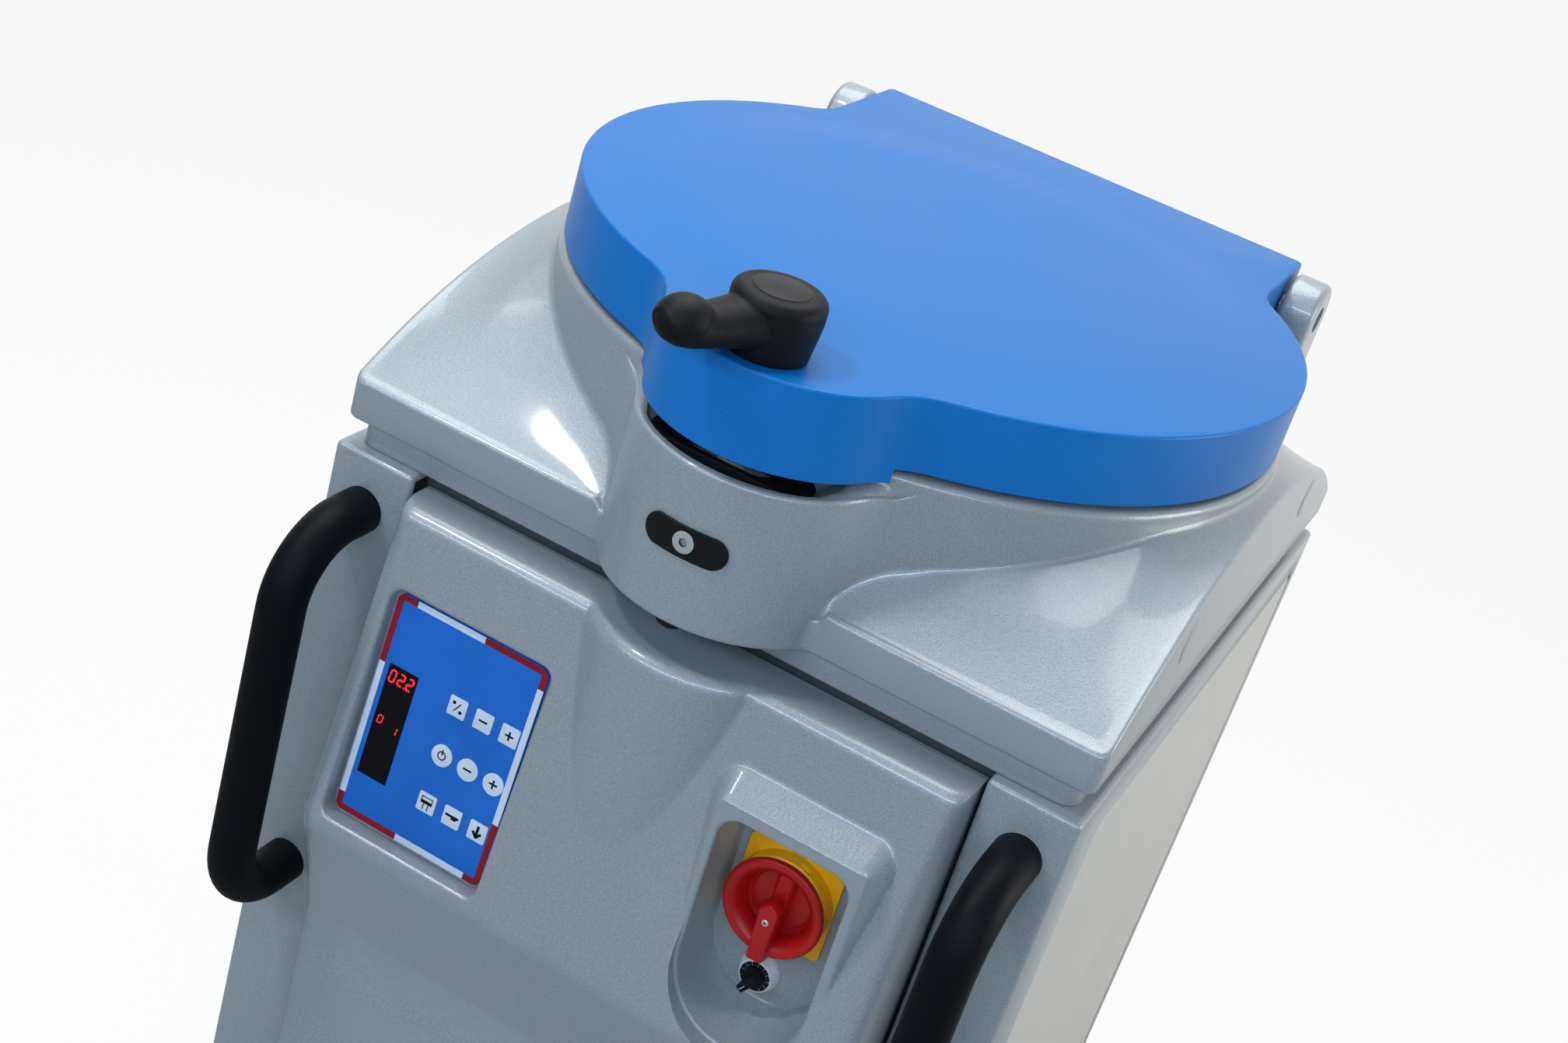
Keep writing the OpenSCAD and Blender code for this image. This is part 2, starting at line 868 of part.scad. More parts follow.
module front_cover() {
  recess_h = recess_low_drop - recess_top_drop;
  rear = 2 * front_wall;
  color("LightSlateGray") seat() difference() {
    union() {
      difference() {
        front_outer();
        translate([0, front_wall, -front_wall])
          across(2 * console_half_w - 2 * front_wall) polygon(console_profile());
        translate([0, 0, -over]) chin(front_wall);
      }
      intersection() {
        front_outer();
        union() {
          translate([recess_x, recess_floor + front_wall, -recess_low_drop - front_wall])
            forward(surround_out + console_h)
              recess_outline(recess_w + 2 * front_wall, recess_h + 2 * front_wall,
                recess_top_r + front_wall, recess_low_r + front_wall);
          on_keypad() translate([0, keypad_t + front_wall, 0]) forward(console_h)
            keypad_outline(pocket_gap + front_wall);
        }
      }
    }
    translate([recess_x, recess_floor, -recess_low_drop]) forward(surround_out + console_h)
      recess_outline(recess_w, recess_h, recess_top_r, recess_low_r);
    on_keypad() translate([0, keypad_t, 0]) forward(console_h) keypad_outline(pocket_gap);
    translate([switch_x, recess_floor - over, -dial_drop]) rotate([-90, 0, 0])
      cylinder(r = dial_pin_r + slip, h = rear + over);
  }
}

function key_column(i) = (i - 1) % 3;
function key_row(i) = floor((i - 1) / 3);

module key_outline(i, grow) {
  translate([key_u + key_column(i) * key_pitch_u, -key_v - key_row(i) * key_pitch_v])
    if (key_row(i) == 1) circle(key_round_r + grow);
    else square(key_w + 2 * grow, center = true);
}

module key(i) {
  color("White") seat() on_keypad() translate([0, key_t - key_proud, 0]) forward(key_t) key_outline(i, 0);
}

module key_1() { key(1); }
module key_2() { key(2); }
module key_3() { key(3); }
module key_4() { key(4); }
module key_5() { key(5); }
module key_6() { key(6); }
module key_7() { key(7); }
module key_8() { key(8); }
module key_9() { key(9); }

module keypad_panel() {
  color("RoyalBlue") seat() on_keypad() difference() {
    translate([0, keypad_t, 0]) forward(keypad_t) keypad_outline(0);
    for (i = [1:9])
      translate([0, keypad_t + over, 0]) forward(keypad_t + 2 * over) key_outline(i, key_gap);
    translate([0, display_t, 0]) forward(display_t + over)
      translate([display_u, -display_v - display_h]) square([display_w, display_h]);
  }
}

module display_window() {
  color("Black") seat() on_keypad() translate([0, display_t, 0]) forward(display_t)
    translate([display_u, -display_v - display_h]) square([display_w, display_h]);
}

// switch axis at the recess floor, Z to the front
module on_switch() {
  translate([switch_x, recess_floor, -switch_drop]) rotate([90, 0, 0]) children();
}

module switch_plate() {
  color("Gold") seat() on_switch() {
    linear_extrude(switch_t) rounded_rect(switch_w, switch_w, switch_corner_r);
    difference() {
      cylinder(r = collar_out_r, h = switch_t + collar_h);
      translate([0, 0, switch_t]) cylinder(r = collar_in_r, h = collar_h + over);
    }
  }
}

module switch_knob() {
  foot = switch_t + slip;
  rim = switch_t + collar_h + slip;
  top = rim + knob_rim_h;
  color("Crimson") seat() on_switch() {
    difference() {
      union() {
        translate([0, 0, foot]) cylinder(r = collar_in_r - slip, h = rim - foot);
        translate([0, 0, rim]) cylinder(r = knob_r, h = knob_rim_h);
      }
      translate([0, 0, top - dish_depth]) cylinder(r1 = dish_floor_r, r2 = dish_r, h = dish_depth);
    }
    translate([0, 0, top - dish_depth]) linear_extrude(dish_depth) intersection() {
      grip_outline();
      circle(collar_in_r - slip);
    }
    translate([0, 0, rim]) linear_extrude(knob_rim_h + grip_h) grip_outline();
  }
}

// switch grip, its point near the middle and its foot over the lower edge
module grip_outline() {
  polygon([[0, grip_up], [-grip_half_w, -grip_shoulder], [-grip_end_half_w, -grip_down],
    [grip_end_half_w, -grip_down], [grip_half_w, -grip_shoulder]]);
}

// dial axis at the recess floor, Z to the front
module on_dial() {
  translate([switch_x, recess_floor, -dial_drop]) rotate([90, 0, 0]) children();
}

module dial_bezel() {
  color("Silver") seat() on_dial() difference() {
    cylinder(r = bezel_r, h = bezel_h);
    translate([0, 0, bezel_h - bezel_sink]) cylinder(r = bezel_r - bezel_lip, h = bezel_sink + over);
    translate([0, 0, -over]) cylinder(r = dial_pin_r + running, h = bezel_h + 2 * over);
  }
}

module dial_knob() {
  foot = bezel_h - bezel_sink + slip;
  color("Black") seat() on_dial() rotate([0, 0, dial_turn]) {
    translate([0, 0, -front_wall]) cylinder(r = dial_pin_r, h = front_wall + foot);
    translate([0, 0, foot]) cylinder(r = dial_r, h = dial_h - pointer_h);
    translate([-pointer_w / 2, -dial_r, foot]) cube([pointer_w, 2 * dial_r, dial_h]);
  }
}

module handle() {
  straight = handle_h - 2 * handle_bend_r;
  leg = handle_out - handle_bend_r;
  r = handle_d / 2;
  for (top = [0, 1]) translate([handle_x, 0, -handle_drop - handle_h / 2]) mirror([0, 0, top]) {
    translate([0, 0, handle_h / 2]) rotate([90, 0, 0]) cylinder(r = r, h = leg);
    translate([0, -leg, straight / 2]) rotate([0, -90, 0]) rotate([0, 0, -90])
      rotate_extrude(angle = 90) translate([handle_bend_r, 0]) circle(r);
  }
  translate([handle_x, -handle_out, -handle_drop - handle_h + handle_bend_r]) cylinder(r = r, h = straight);
}

module left_handle() {
  color("Black") seat() mirror([1, 0, 0]) handle();
}

module right_handle() {
  color("Black") seat() handle();
}

// one radial slot or knife from r0 to r1
module spoke(angle, r0, r1, t, h) {
  rotate([0, 0, angle]) translate([r0, -t / 2, 0]) cube([r1 - r0, t, h]);
}

outer_count = inner_count * outer_ratio;
function inner_angle(i) = i * 360 / inner_count + 90;
function outer_angle(i) = i * 360 / outer_count + 90;

module press_segments() {
  low = segment_top - segment_t;
  color("Gainsboro") seat() translate([0, pan_y, 0]) {
    difference() {
      translate([0, 0, low]) cylinder(r = segment_r, h = segment_t);
      translate([0, 0, low - over]) {
        cylinder(r = hub_gap_r, h = segment_t + 2 * over);
        difference() {
          cylinder(r = ring_r + knife_slot / 2, h = segment_t + 2 * over);
          cylinder(r = ring_r - knife_slot / 2, h = segment_t + 2 * over);
        }
        for (i = [1:inner_count]) spoke(inner_angle(i), 0, ring_r, knife_slot, segment_t + 2 * over);
        for (i = [1:outer_count])
          spoke(outer_angle(i), ring_r, segment_r + over, knife_slot, segment_t + 2 * over);
      }
    }
    for (i = [1:inner_count]) rotate([0, 0, inner_angle(i + 0.5)])
      translate([inner_pillar_r, 0, pillar_end]) cylinder(r = pillar_r, h = low - pillar_end + over);
    for (i = [1:outer_count]) rotate([0, 0, outer_angle(i + 0.5)])
      translate([outer_pillar_r, 0, pillar_end]) cylinder(r = pillar_r, h = low - pillar_end + over);
  }
}

module press_carrier() {
  color("Gray") seat() translate([0, pan_y, pillar_end - carrier_t]) difference() {
    cylinder(r = carrier_r, h = carrier_t);
    for (x = [-1, 1]) translate([x * ring_r, 0, -over])
      cylinder(r = rod_r + slip, h = carrier_t + 2 * over);
  }
}

module press_rod() {
  low = pillar_end - carrier_t;
  color("LightGray") seat() translate([0, pan_y, piston_low]) {
    cylinder(r = press_rod_r, h = low - piston_low);
    cylinder(r = piston_r, h = piston_t);
  }
}

module press_cylinder() {
  color("DimGray") seat() translate([0, pan_y, cylinder_low]) difference() {
    cylinder(r = cylinder_r, h = cylinder_top - cylinder_low);
    translate([0, 0, cylinder_floor])
      cylinder(r = piston_r + slip, h = cylinder_top - cylinder_low - cylinder_floor - cylinder_head);
    translate([0, 0, cylinder_floor]) cylinder(r = press_rod_r + slip, h = cylinder_top - cylinder_low);
  }
}

module cylinder_stand() {
  h = cylinder_low - frame_low;
  color("DimGray") seat() translate([0, pan_y, frame_low]) difference() {
    union() {
      cylinder(r = stand_r, h = h);
      cylinder(r = stand_plate_r, h = stand_plate_t);
      translate([0, 0, h - stand_plate_t]) cylinder(r = stand_plate_r, h = stand_plate_t);
    }
    translate([0, 0, -over]) cylinder(r = stand_r - stand_wall, h = h - stand_plate_t + over);
  }
}

module knife_blade(angle, r0, r1, t) {
  rotate(angle) translate([r0, -t / 2]) square([r1 - r0, t]);
}

// hub, blades and ring pieces, with hairline joints where they are welded
module knife_plan() {
  in_r = ring_r - knife_t / 2;
  out_r = ring_r + knife_t / 2;
  circle(knife_hub_r);
  for (i = [1:inner_count]) knife_blade(inner_angle(i), knife_hub_r + running, in_r - running, knife_t);
  for (i = [1:outer_count])
    knife_blade(outer_angle(i), in_r, segment_r - knife_edge - knife_t, knife_t);
  difference() {
    circle(out_r);
    circle(in_r);
    for (i = [1:outer_count])
      knife_blade(outer_angle(i), in_r - knife_t, out_r + knife_t, knife_t + 2 * running);
  }
}

module knife_grid() {
  h = knife_top - knife_low;
  edge = segment_r - knife_edge;
  color("Silver") seat() translate([0, pan_y, knife_low]) {
    translate([0, 0, running]) linear_extrude(h - running) knife_plan();
    translate([0, 0, -knife_ring_t]) {
      linear_extrude(knife_ring_t) {
        difference() {
          circle(edge);
          circle(edge - knife_ring_w);
        }
        for (x = [-1, 1]) translate([x * ring_r, 0]) circle(rod_pad_r);
      }
    }
    for (x = [-1, 1]) translate([x * ring_r, 0, rod_end - knife_low])
      cylinder(r = rod_r, h = knife_low - rod_end - knife_ring_t);
  }
}

module knife_cylinders() {
  h = pillar_end - carrier_t - knife_cyl_low;
  color("DimGray") seat() for (x = [-1, 1]) translate([x * ring_r, pan_y, knife_cyl_low]) difference() {
    cylinder(r = knife_cyl_r, h = h);
    translate([0, 0, knife_cyl_floor]) cylinder(r = rod_r + slip, h = h);
  }
}

module oil_tank() {
  color("DarkSlateGray") seat() translate([tank_place[0], tank_place[1], frame_low]) difference() {
    cube(tank_size);
    translate([tank_wall, tank_wall, tank_wall])
      cube([tank_size[0] - 2 * tank_wall, tank_size[1] - 2 * tank_wall, tank_size[2]]);
  }
}

module pump_motor() {
  color("SteelBlue") seat() translate([tank_place[0], tank_place[1], frame_low + tank_size[2]]) {
    cube([tank_size[0], tank_size[1], tank_lid_t]);
    translate([tank_size[0] / 2, tank_size[1] / 2, 0]) cylinder(r = motor_r, h = motor_h);
  }
}

module control_box() {
  color("LightGray") seat() translate([box_x, back_y - box_size[1], frame_low]) difference() {
    cube(box_size);
    translate([box_wall, box_wall, box_wall])
      cube([box_size[0] - 2 * box_wall, box_size[1], box_size[2] - 2 * box_wall]);
  }
}

module cable_gland() {
  color("Black") seat() translate([gland_x, back_y, -gland_drop]) rotate([-90, 0, 0]) difference() {
    union() {
      translate([0, 0, -gland_in]) cylinder(r = gland_r, h = gland_in + panel_t + gland_out);
      translate([0, 0, -gland_nut_t]) cylinder(r = gland_nut_r, h = gland_nut_t, $fn = 6);
      translate([0, 0, panel_t]) cylinder(r = gland_nut_r, h = gland_nut_t, $fn = 6);
    }
    translate([0, 0, -gland_in - over])
      cylinder(r = gland_bore_r, h = gland_in + panel_t + gland_out + 2 * over);
  }
}

// castor places at the floor, front or rear, left or right
module at_castor(side, rear) {
  y = rear ? frame_depth - castor_in_y : castor_in_y;
  translate([side * (frame_w / 2 - castor_in_x), front_y + y, 0]) children();
}

module castor_plate() {
  translate([-castor_plate_w / 2, -castor_plate_w / 2, floor_gap - castor_plate_t])
    cube([castor_plate_w, castor_plate_w, castor_plate_t]);
  translate([0, 0, floor_gap - castor_plate_t - cup_h]) cylinder(r = cup_r, h = cup_h);
}

module castor_legs(top) {
  reach = wheel_w / 2 + leg_gap + leg_t;
  difference() {
    for (side = [-1, 1]) translate([side * (reach - leg_t / 2), 0, 0]) across(leg_t) union() {
      polygon([[-crown_r, top], [crown_r, top], [trail + leg_eye_r, wheel_d / 2], [trail - leg_eye_r, wheel_d / 2]]);
      translate([trail, wheel_d / 2]) circle(leg_eye_r);
    }
    translate([-reach - over, trail, wheel_d / 2]) rotate([0, 90, 0])
      cylinder(r = axle_r + running, h = 2 * reach + 2 * over);
  }
}

module castor_axle() {
  reach = wheel_w / 2 + leg_gap + leg_t;
  translate([0, trail, wheel_d / 2]) rotate([0, 90, 0]) {
    cylinder(r = axle_r, h = 2 * reach, center = true);
    for (side = [-1, 1]) translate([0, 0, side * (reach + axle_head_t / 2)])
      cylinder(r = axle_head_r, h = axle_head_t, center = true, $fn = 6);
  }
}

module swivel_fork() {
  castor_legs(crown_z + crown_t);
  translate([0, 0, crown_z]) {
    half = wheel_w / 2 + leg_gap;
    translate([-half, -crown_r, 0]) cube([2 * half, 2 * crown_r, crown_t]);
    cylinder(r = kingpin_r, h = floor_gap - crown_z - kingpin_gap);
  }
  castor_axle();
}

module front_castor_plates() {
  color("DarkGray") for (side = [-1, 1]) at_castor(side, false) difference() {
    castor_plate();
    cylinder(r = kingpin_r + running, h = floor_gap + over);
  }
}

module rear_castor_forks() {
  top = floor_gap - castor_plate_t;
  color("DarkGray") for (side = [-1, 1]) at_castor(side, true) {
    castor_legs(top);
    translate([-castor_plate_w / 2, -castor_plate_w / 2, top])
      cube([castor_plate_w, castor_plate_w, castor_plate_t]);
    castor_axle();
  }
}

module front_left_fork() {
  color("DarkGray") at_castor(-1, false) swivel_fork();
}

module front_right_fork() {
  color("DarkGray") at_castor(1, false) swivel_fork();
}

module wheel(side, rear) {
  r = wheel_d / 2;
  w = wheel_w / 2;
  hub = w + leg_gap - hub_w_gap;
  color("DimGray") at_castor(side, rear) translate([0, trail, r]) rotate([0, 90, 0])
    rotate_extrude() polygon([[axle_r + running, -hub], [wheel_hub_r, -hub],
      [wheel_hub_r, -wheel_web_w / 2], [wheel_rim_r, -wheel_web_w / 2], [wheel_rim_r, -w],
      [r - tyre_round, -w], [r, tyre_round - w], [r, w - tyre_round], [r - tyre_round, w],
      [wheel_rim_r, w], [wheel_rim_r, wheel_web_w / 2], [wheel_hub_r, wheel_web_w / 2],
      [wheel_hub_r, hub], [axle_r + running, hub]]);
}

module front_left_wheel() { wheel(-1, false); }
module front_right_wheel() { wheel(1, false); }
module rear_left_wheel() { wheel(-1, true); }
module rear_right_wheel() { wheel(1, true); }

chassis();
left_side_frame();
right_side_frame();
pan_table();
left_side_panel();
right_side_panel();
back_panel();
front_cover();
left_handle();
right_handle();
top_cover();
cover_tray();
cover_plugs();
striker_plate();
cover_screws();
nose_plate();
nose_bumper();
left_hinge_block();
right_hinge_block();
hinge_bolts();
lid();
lid_plate();
lock_lever();
lever_cap();
lock_spindle();
dough_pan();
press_segments();
press_carrier();
press_rod();
press_cylinder();
cylinder_stand();
knife_grid();
knife_cylinders();
oil_tank();
pump_motor();
control_box();
cable_gland();
keypad_panel();
display_window();
key_1();
key_2();
key_3();
key_4();
key_5();
key_6();
key_7();
key_8();
key_9();
switch_plate();
switch_knob();
dial_bezel();
dial_knob();
front_castor_plates();
rear_castor_forks();
front_left_fork();
front_right_fork();
front_left_wheel();
front_right_wheel();
rear_left_wheel();
rear_right_wheel();
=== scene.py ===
import json
import math

import bmesh
import bpy
from mathutils import Matrix, Vector

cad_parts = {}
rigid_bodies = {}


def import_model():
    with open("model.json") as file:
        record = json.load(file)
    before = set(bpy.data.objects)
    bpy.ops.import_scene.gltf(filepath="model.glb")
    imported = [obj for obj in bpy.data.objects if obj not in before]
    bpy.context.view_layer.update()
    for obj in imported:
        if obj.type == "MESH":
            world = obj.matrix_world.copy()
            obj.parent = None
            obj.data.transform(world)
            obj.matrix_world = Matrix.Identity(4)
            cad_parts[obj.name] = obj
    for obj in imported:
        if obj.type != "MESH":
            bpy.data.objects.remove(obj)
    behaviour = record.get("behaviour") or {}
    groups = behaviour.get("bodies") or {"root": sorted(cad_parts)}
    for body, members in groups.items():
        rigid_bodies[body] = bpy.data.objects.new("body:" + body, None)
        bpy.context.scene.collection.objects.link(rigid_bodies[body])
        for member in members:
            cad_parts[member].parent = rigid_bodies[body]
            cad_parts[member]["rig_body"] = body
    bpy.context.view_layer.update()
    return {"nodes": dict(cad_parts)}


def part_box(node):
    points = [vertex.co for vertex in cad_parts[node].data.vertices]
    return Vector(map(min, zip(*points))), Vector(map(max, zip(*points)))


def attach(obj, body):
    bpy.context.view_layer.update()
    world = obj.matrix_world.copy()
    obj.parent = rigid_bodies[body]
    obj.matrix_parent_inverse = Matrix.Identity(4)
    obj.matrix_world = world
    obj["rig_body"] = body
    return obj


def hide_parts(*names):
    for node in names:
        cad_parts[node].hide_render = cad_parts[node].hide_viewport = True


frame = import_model()
scene = bpy.context.scene
nodes = frame["nodes"]

mm = 0.001
tiny = 0.001  # merging distance, in mm
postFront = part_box("chassis")[0][1]
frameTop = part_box("right_side_frame")[1][2]
seat = Matrix.Translation((0, postFront, frameTop)) @ Matrix.Scale(mm, 4)  # mm from post front and frame top
print("frame loaded:", len(nodes), "nodes")


def at(x, y, z):
    return Matrix.Translation((x, y, z))


def turned(degrees, axis):
    return Matrix.Rotation(math.radians(degrees), 4, axis)


upright = turned(90, "X")  # drawing plane to the front: local Z looks along -Y


# camera at the photograph's angle
view = dict(place=(435.03, -1136.29, 703.72), lens=51.344, sensor=36, clip=(0.05, 50),
            right=(0.85580905, 0.44146349, 0.26963096),
            down=(0.42669445, -0.30777272, -0.85041625),
            ahead=(-0.29244267, 0.84284396, -0.4517647))


def makeCamera():
    data = bpy.data.cameras.new("camera")
    data.lens = view["lens"]
    data.sensor_width = view["sensor"]
    data.sensor_fit = "HORIZONTAL"
    data.clip_start, data.clip_end = view["clip"]
    camera = bpy.data.objects.new("camera", data)
    scene.collection.objects.link(camera)
    axes = Matrix((view["right"], [-d for d in view["down"]], [-a for a in view["ahead"]]))
    camera.matrix_world = at(*(seat @ Vector(view["place"]))) @ axes.transposed().to_4x4()
    scene.camera = camera


makeCamera()


# node helpers
def srgb(r, g, b):
    def linear(c):
        c /= 255
        return c / 12.92 if c <= 0.04045 else ((c + 0.055) / 1.055) ** 2.4
    return (linear(r), linear(g), linear(b), 1)


def feed(tree, socket, value):  # links a node's output, or sets a plain value
    if isinstance(value, bpy.types.NodeSocket):
        tree.links.new(value, socket)
    else:
        socket.default_value = value


def addNode(tree, kind, settings=None, **inputs):
    node = tree.nodes.new(kind)
    for key, value in (settings or {}).items():
        setattr(node, key, value)
    for key, value in inputs.items():
        feed(tree, node.inputs[key], value)
    return node


def noise(tree, coords, scale, detail=2.0, rough=0.5):
    node = addNode(tree, "ShaderNodeTexNoise", Vector=coords, Scale=scale, Detail=detail, Roughness=rough)
    return node.outputs["Fac"]


def spread(tree, value, low, high, start=0.3, end=0.7):  # a value's span to another span
    spans = {"From Min": start, "From Max": end, "To Min": low, "To Max": high}
    return addNode(tree, "ShaderNodeMapRange", Value=value, **spans).outputs["Result"]


def sums(tree, kind, a, b):
    node = addNode(tree, "ShaderNodeMath", {"operation": kind})
    feed(tree, node.inputs[0], a)
    feed(tree, node.inputs[1], b)
    return node.outputs[0]


# shared surface effects, each with a colour, an input of its own and a roughness
def newGroup(name, own, ownValue, roughness):
    group = bpy.data.node_groups.new(name, "ShaderNodeTree")
    ownKind = "NodeSocketVector" if isinstance(ownValue, tuple) else "NodeSocketFloat"
    inputs = (("Color", "NodeSocketColor", (1, 1, 1, 1)), (own, ownKind, ownValue),
              ("Roughness", "NodeSocketFloat", roughness))
    for label, kind, value in inputs:
        group.interface.new_socket(label, in_out="INPUT", socket_type=kind).default_value = value
    for label in ("Color", "Roughness", "Height"):
        kind = "NodeSocketColor" if label == "Color" else "NodeSocketFloat"
        group.interface.new_socket(label, in_out="OUTPUT", socket_type=kind)
    start = group.nodes.new("NodeGroupInput").outputs
    end = group.nodes.new("NodeGroupOutput").inputs
    return group, start, end, addNode(group, "ShaderNodeTexCoord").outputs["Object"]


def closeGroup(group, start, end, tone, gloss, height):  # tone scales the colour, gloss adds to the roughness
    shade = addNode(group, "ShaderNodeVectorMath", {"operation": "SCALE"}, Scale=tone)
    feed(group, shade.inputs[0], start["Color"])
    feed(group, end["Color"], shade.outputs[0])
    feed(group, end["Roughness"], sums(group, "ADD", start["Roughness"], gloss))
    feed(group, end["Height"], height)
    return group


# noises as (scale, detail, roughness), tones and glosses as spans
coat = dict(flake=(1900, 1.0), cloud=(9, 3.0), peel=(560, 1.5), cloudTone=(0.97, 1.03),
            cloudGloss=(-0.03, 0.03), flakeGloss=(-0.04, 0.04), flakeHeight=0.25)
brush = dict(lines=(60, 5.0, 0.65), smear=(14, 4.0), linesTone=(0.86, 1.06), smearTone=(0.94, 1.04),
             linesGloss=(-0.08, 0.1), smearGloss=(-0.04, 0.06))
grain = dict(pits=(2.0, 0.6), rub=(22, 4.0), pitsTone=(0.93, 1.07), rubTone=(0.94, 1.08),
             pitsGloss=(-0.04, 0.04), rubGloss=(-0.05, 0.06))


def both(group, kind, first, firstSpan, second, secondSpan):  # two noises, each spread over its span
    return sums(group, kind, spread(group, first, *firstSpan), spread(group, second, *secondSpan))


def paintGroup():
    group, start, end, coords = newGroup("powderCoat", "Flake", 0.1, 0.4)
    flake = noise(group, coords, *coat["flake"])
    cloud = noise(group, coords, *coat["cloud"])
    peel = noise(group, coords, *coat["peel"])
    low = sums(group, "SUBTRACT", 1.0, start["Flake"])
    high = sums(group, "ADD", 1.0, start["Flake"])
    tone = both(group, "MULTIPLY", flake, (low, high), cloud, coat["cloudTone"])
    gloss = both(group, "ADD", cloud, coat["cloudGloss"], flake, coat["flakeGloss"])
    height = sums(group, "ADD", peel, sums(group, "MULTIPLY", flake, coat["flakeHeight"]))
    return closeGroup(group, start, end, tone, gloss, height)


def brushedGroup():
    group, start, end, coords = newGroup("brushedSteel", "Stretch", (1, 1, 1), 0.3)
    stretched = addNode(group, "ShaderNodeVectorMath", {"operation": "MULTIPLY"})
    feed(group, stretched.inputs[0], coords)
    feed(group, stretched.inputs[1], start["Stretch"])
    lines = noise(group, stretched.outputs[0], *brush["lines"])
    smear = noise(group, coords, *brush["smear"])
    tone = both(group, "MULTIPLY", lines, brush["linesTone"], smear, brush["smearTone"])
    gloss = both(group, "ADD", lines, brush["linesGloss"], smear, brush["smearGloss"])
    return closeGroup(group, start, end, tone, gloss, lines)


def mouldedGroup():
    group, start, end, coords = newGroup("mouldedGrain", "Grain", 900.0, 0.45)
    pits = noise(group, coords, start["Grain"], *grain["pits"])
    rub = noise(group, coords, *grain["rub"])
    tone = both(group, "MULTIPLY", pits, grain["pitsTone"], rub, grain["rubTone"])
    gloss = both(group, "ADD", rub, grain["rubGloss"], pits, grain["pitsGloss"])
    return closeGroup(group, start, end, tone, gloss, pits)


# finishes as (colour, the effect's own value, roughness, bump, its depth in mm, shader sockets)
metal, spec, coatWeight, coatRough = "Metallic", "Specular IOR Level", "Coat Weight", "Coat Roughness"
coated = dict(  # own value: flake
    silverPaint=((153, 160, 163), 0.25, 0.42, 0.8, 0.3,
                 {metal: 0.25, spec: 0.4, coatWeight: 0.55, coatRough: 0.09}),
    # pale warm panel paint, partly painted light: it stands for the warm light falling on the right side
    palePaint=((204, 202, 194), 0.06, 0.5, 0.2, 0.3, {spec: 0.3, coatWeight: 0.1, coatRough: 0.25}),
    bluePaint=((1, 107, 180), 0.12, 0.42, 0.25, 0.3, {spec: 0.2, coatWeight: 0.15, coatRough: 0.15}),
    blackPlate=((14, 14, 16), 0.15, 0.36, 0.2, 0.2, {spec: 0.3}),
    darkSteel=((66, 68, 70), 0.12, 0.5, 0.25, 0.3, {metal: 0.2, spec: 0.3}),
    motorBlue=((56, 88, 116), 0.1, 0.5, 0.3, 0.3, {metal: 0.1}))
brushed = dict(  # own value: stretch
    boltSteel=((200, 200, 198), (1, 1, 1), 0.34, 0.1, 0.2, {metal: 0.5}),
    panSteel=((186, 187, 188), (14, 1.5, 14), 0.34, 0.06, 0.3, {metal: 0.8}),
    knifeSteel=((182, 183, 185), (1, 1, 10), 0.3, 0.02, 0.3, {metal: 0.8}),
    plateAlloy=((186, 187, 186), (6, 1, 1), 0.42, 0.12, 0.3, {metal: 0.8}),
    zincPlate=((158, 160, 158), (3, 1, 1), 0.38, 0.12, 0.3, {metal: 0.9}),
    bezelMetal=((226, 227, 228), (1, 1, 1), 0.25, 0.1, 0.2, {metal: 0.25}))
moulded = dict(  # own value: grain
    blackMoulding=((12, 14, 17), 1400, 0.55, 0.35, 0.3, {spec: 0.18}),
    blackCap=((18, 20, 23), 800, 0.42, 0.15, 0.2, {spec: 0.2}),
    blackTube=((8, 11, 16), 1600, 0.48, 0.3, 0.2, {spec: 0.1}),
    wheelTyre=((84, 86, 88), 500, 0.6, 0.3, 0.4, {spec: 0.3}),
    softRubber=((20, 20, 20), 700, 0.65, 0.35, 0.4, {spec: 0.25}),
    filmBlue=((24, 98, 184), 2200, 0.5, 0.08, 0.1, {spec: 0.2}),
    filmRed=((140, 18, 36), 2200, 0.5, 0.08, 0.1, {spec: 0.2}),
    filmWhite=((198, 207, 219), 2200, 0.5, 0.08, 0.1, {spec: 0.2}),
    # black for print, and as painted shade for the cross recess of the knob's screw
    inkBlack=((14, 14, 16), 2200, 0.5, 0.05, 0.1, {spec: 0.2}),
    windowFilm=((12, 10, 14), 2200, 0.4, 0.05, 0.1, {spec: 0.15}),
    switchYellow=((250, 174, 10), 1200, 0.42, 0.12, 0.2, {spec: 0.3}),
    switchRed=((172, 13, 13), 1200, 0.36, 0.12, 0.2, {spec: 0.35}),
    litDigits=((200, 16, 20), 2200, 0.4, 0.05, 0.1,
               {"Emission Color": srgb(255, 36, 36), "Emission Strength": 1.2}))


def makeFinish(name, group, own, colour, ownValue, roughness, bump, depth, sockets):
    mat = bpy.data.materials.new(name)
    mat.use_nodes = True
    mat.diffuse_color = srgb(*colour)
    tree = mat.node_tree
    effect = addNode(tree, "ShaderNodeGroup", {"node_tree": group},
                     **{"Color": srgb(*colour), own: ownValue, "Roughness": roughness}).outputs
    relief = addNode(tree, "ShaderNodeBump", Strength=bump, Distance=depth * mm, Height=effect["Height"])
    inputs = {"Base Color": effect["Color"], "Roughness": effect["Roughness"],
              "Normal": relief.outputs["Normal"]}
    for key, value in (inputs | sockets).items():
        feed(tree, tree.nodes["Principled BSDF"].inputs[key], value)
    return mat


finishes = {}
for table, group, own in ((coated, paintGroup(), "Flake"), (brushed, brushedGroup(), "Stretch"),
                          (moulded, mouldedGroup(), "Grain")):
    for name, row in table.items():
        finishes[name] = makeFinish(name, group, own, *row)

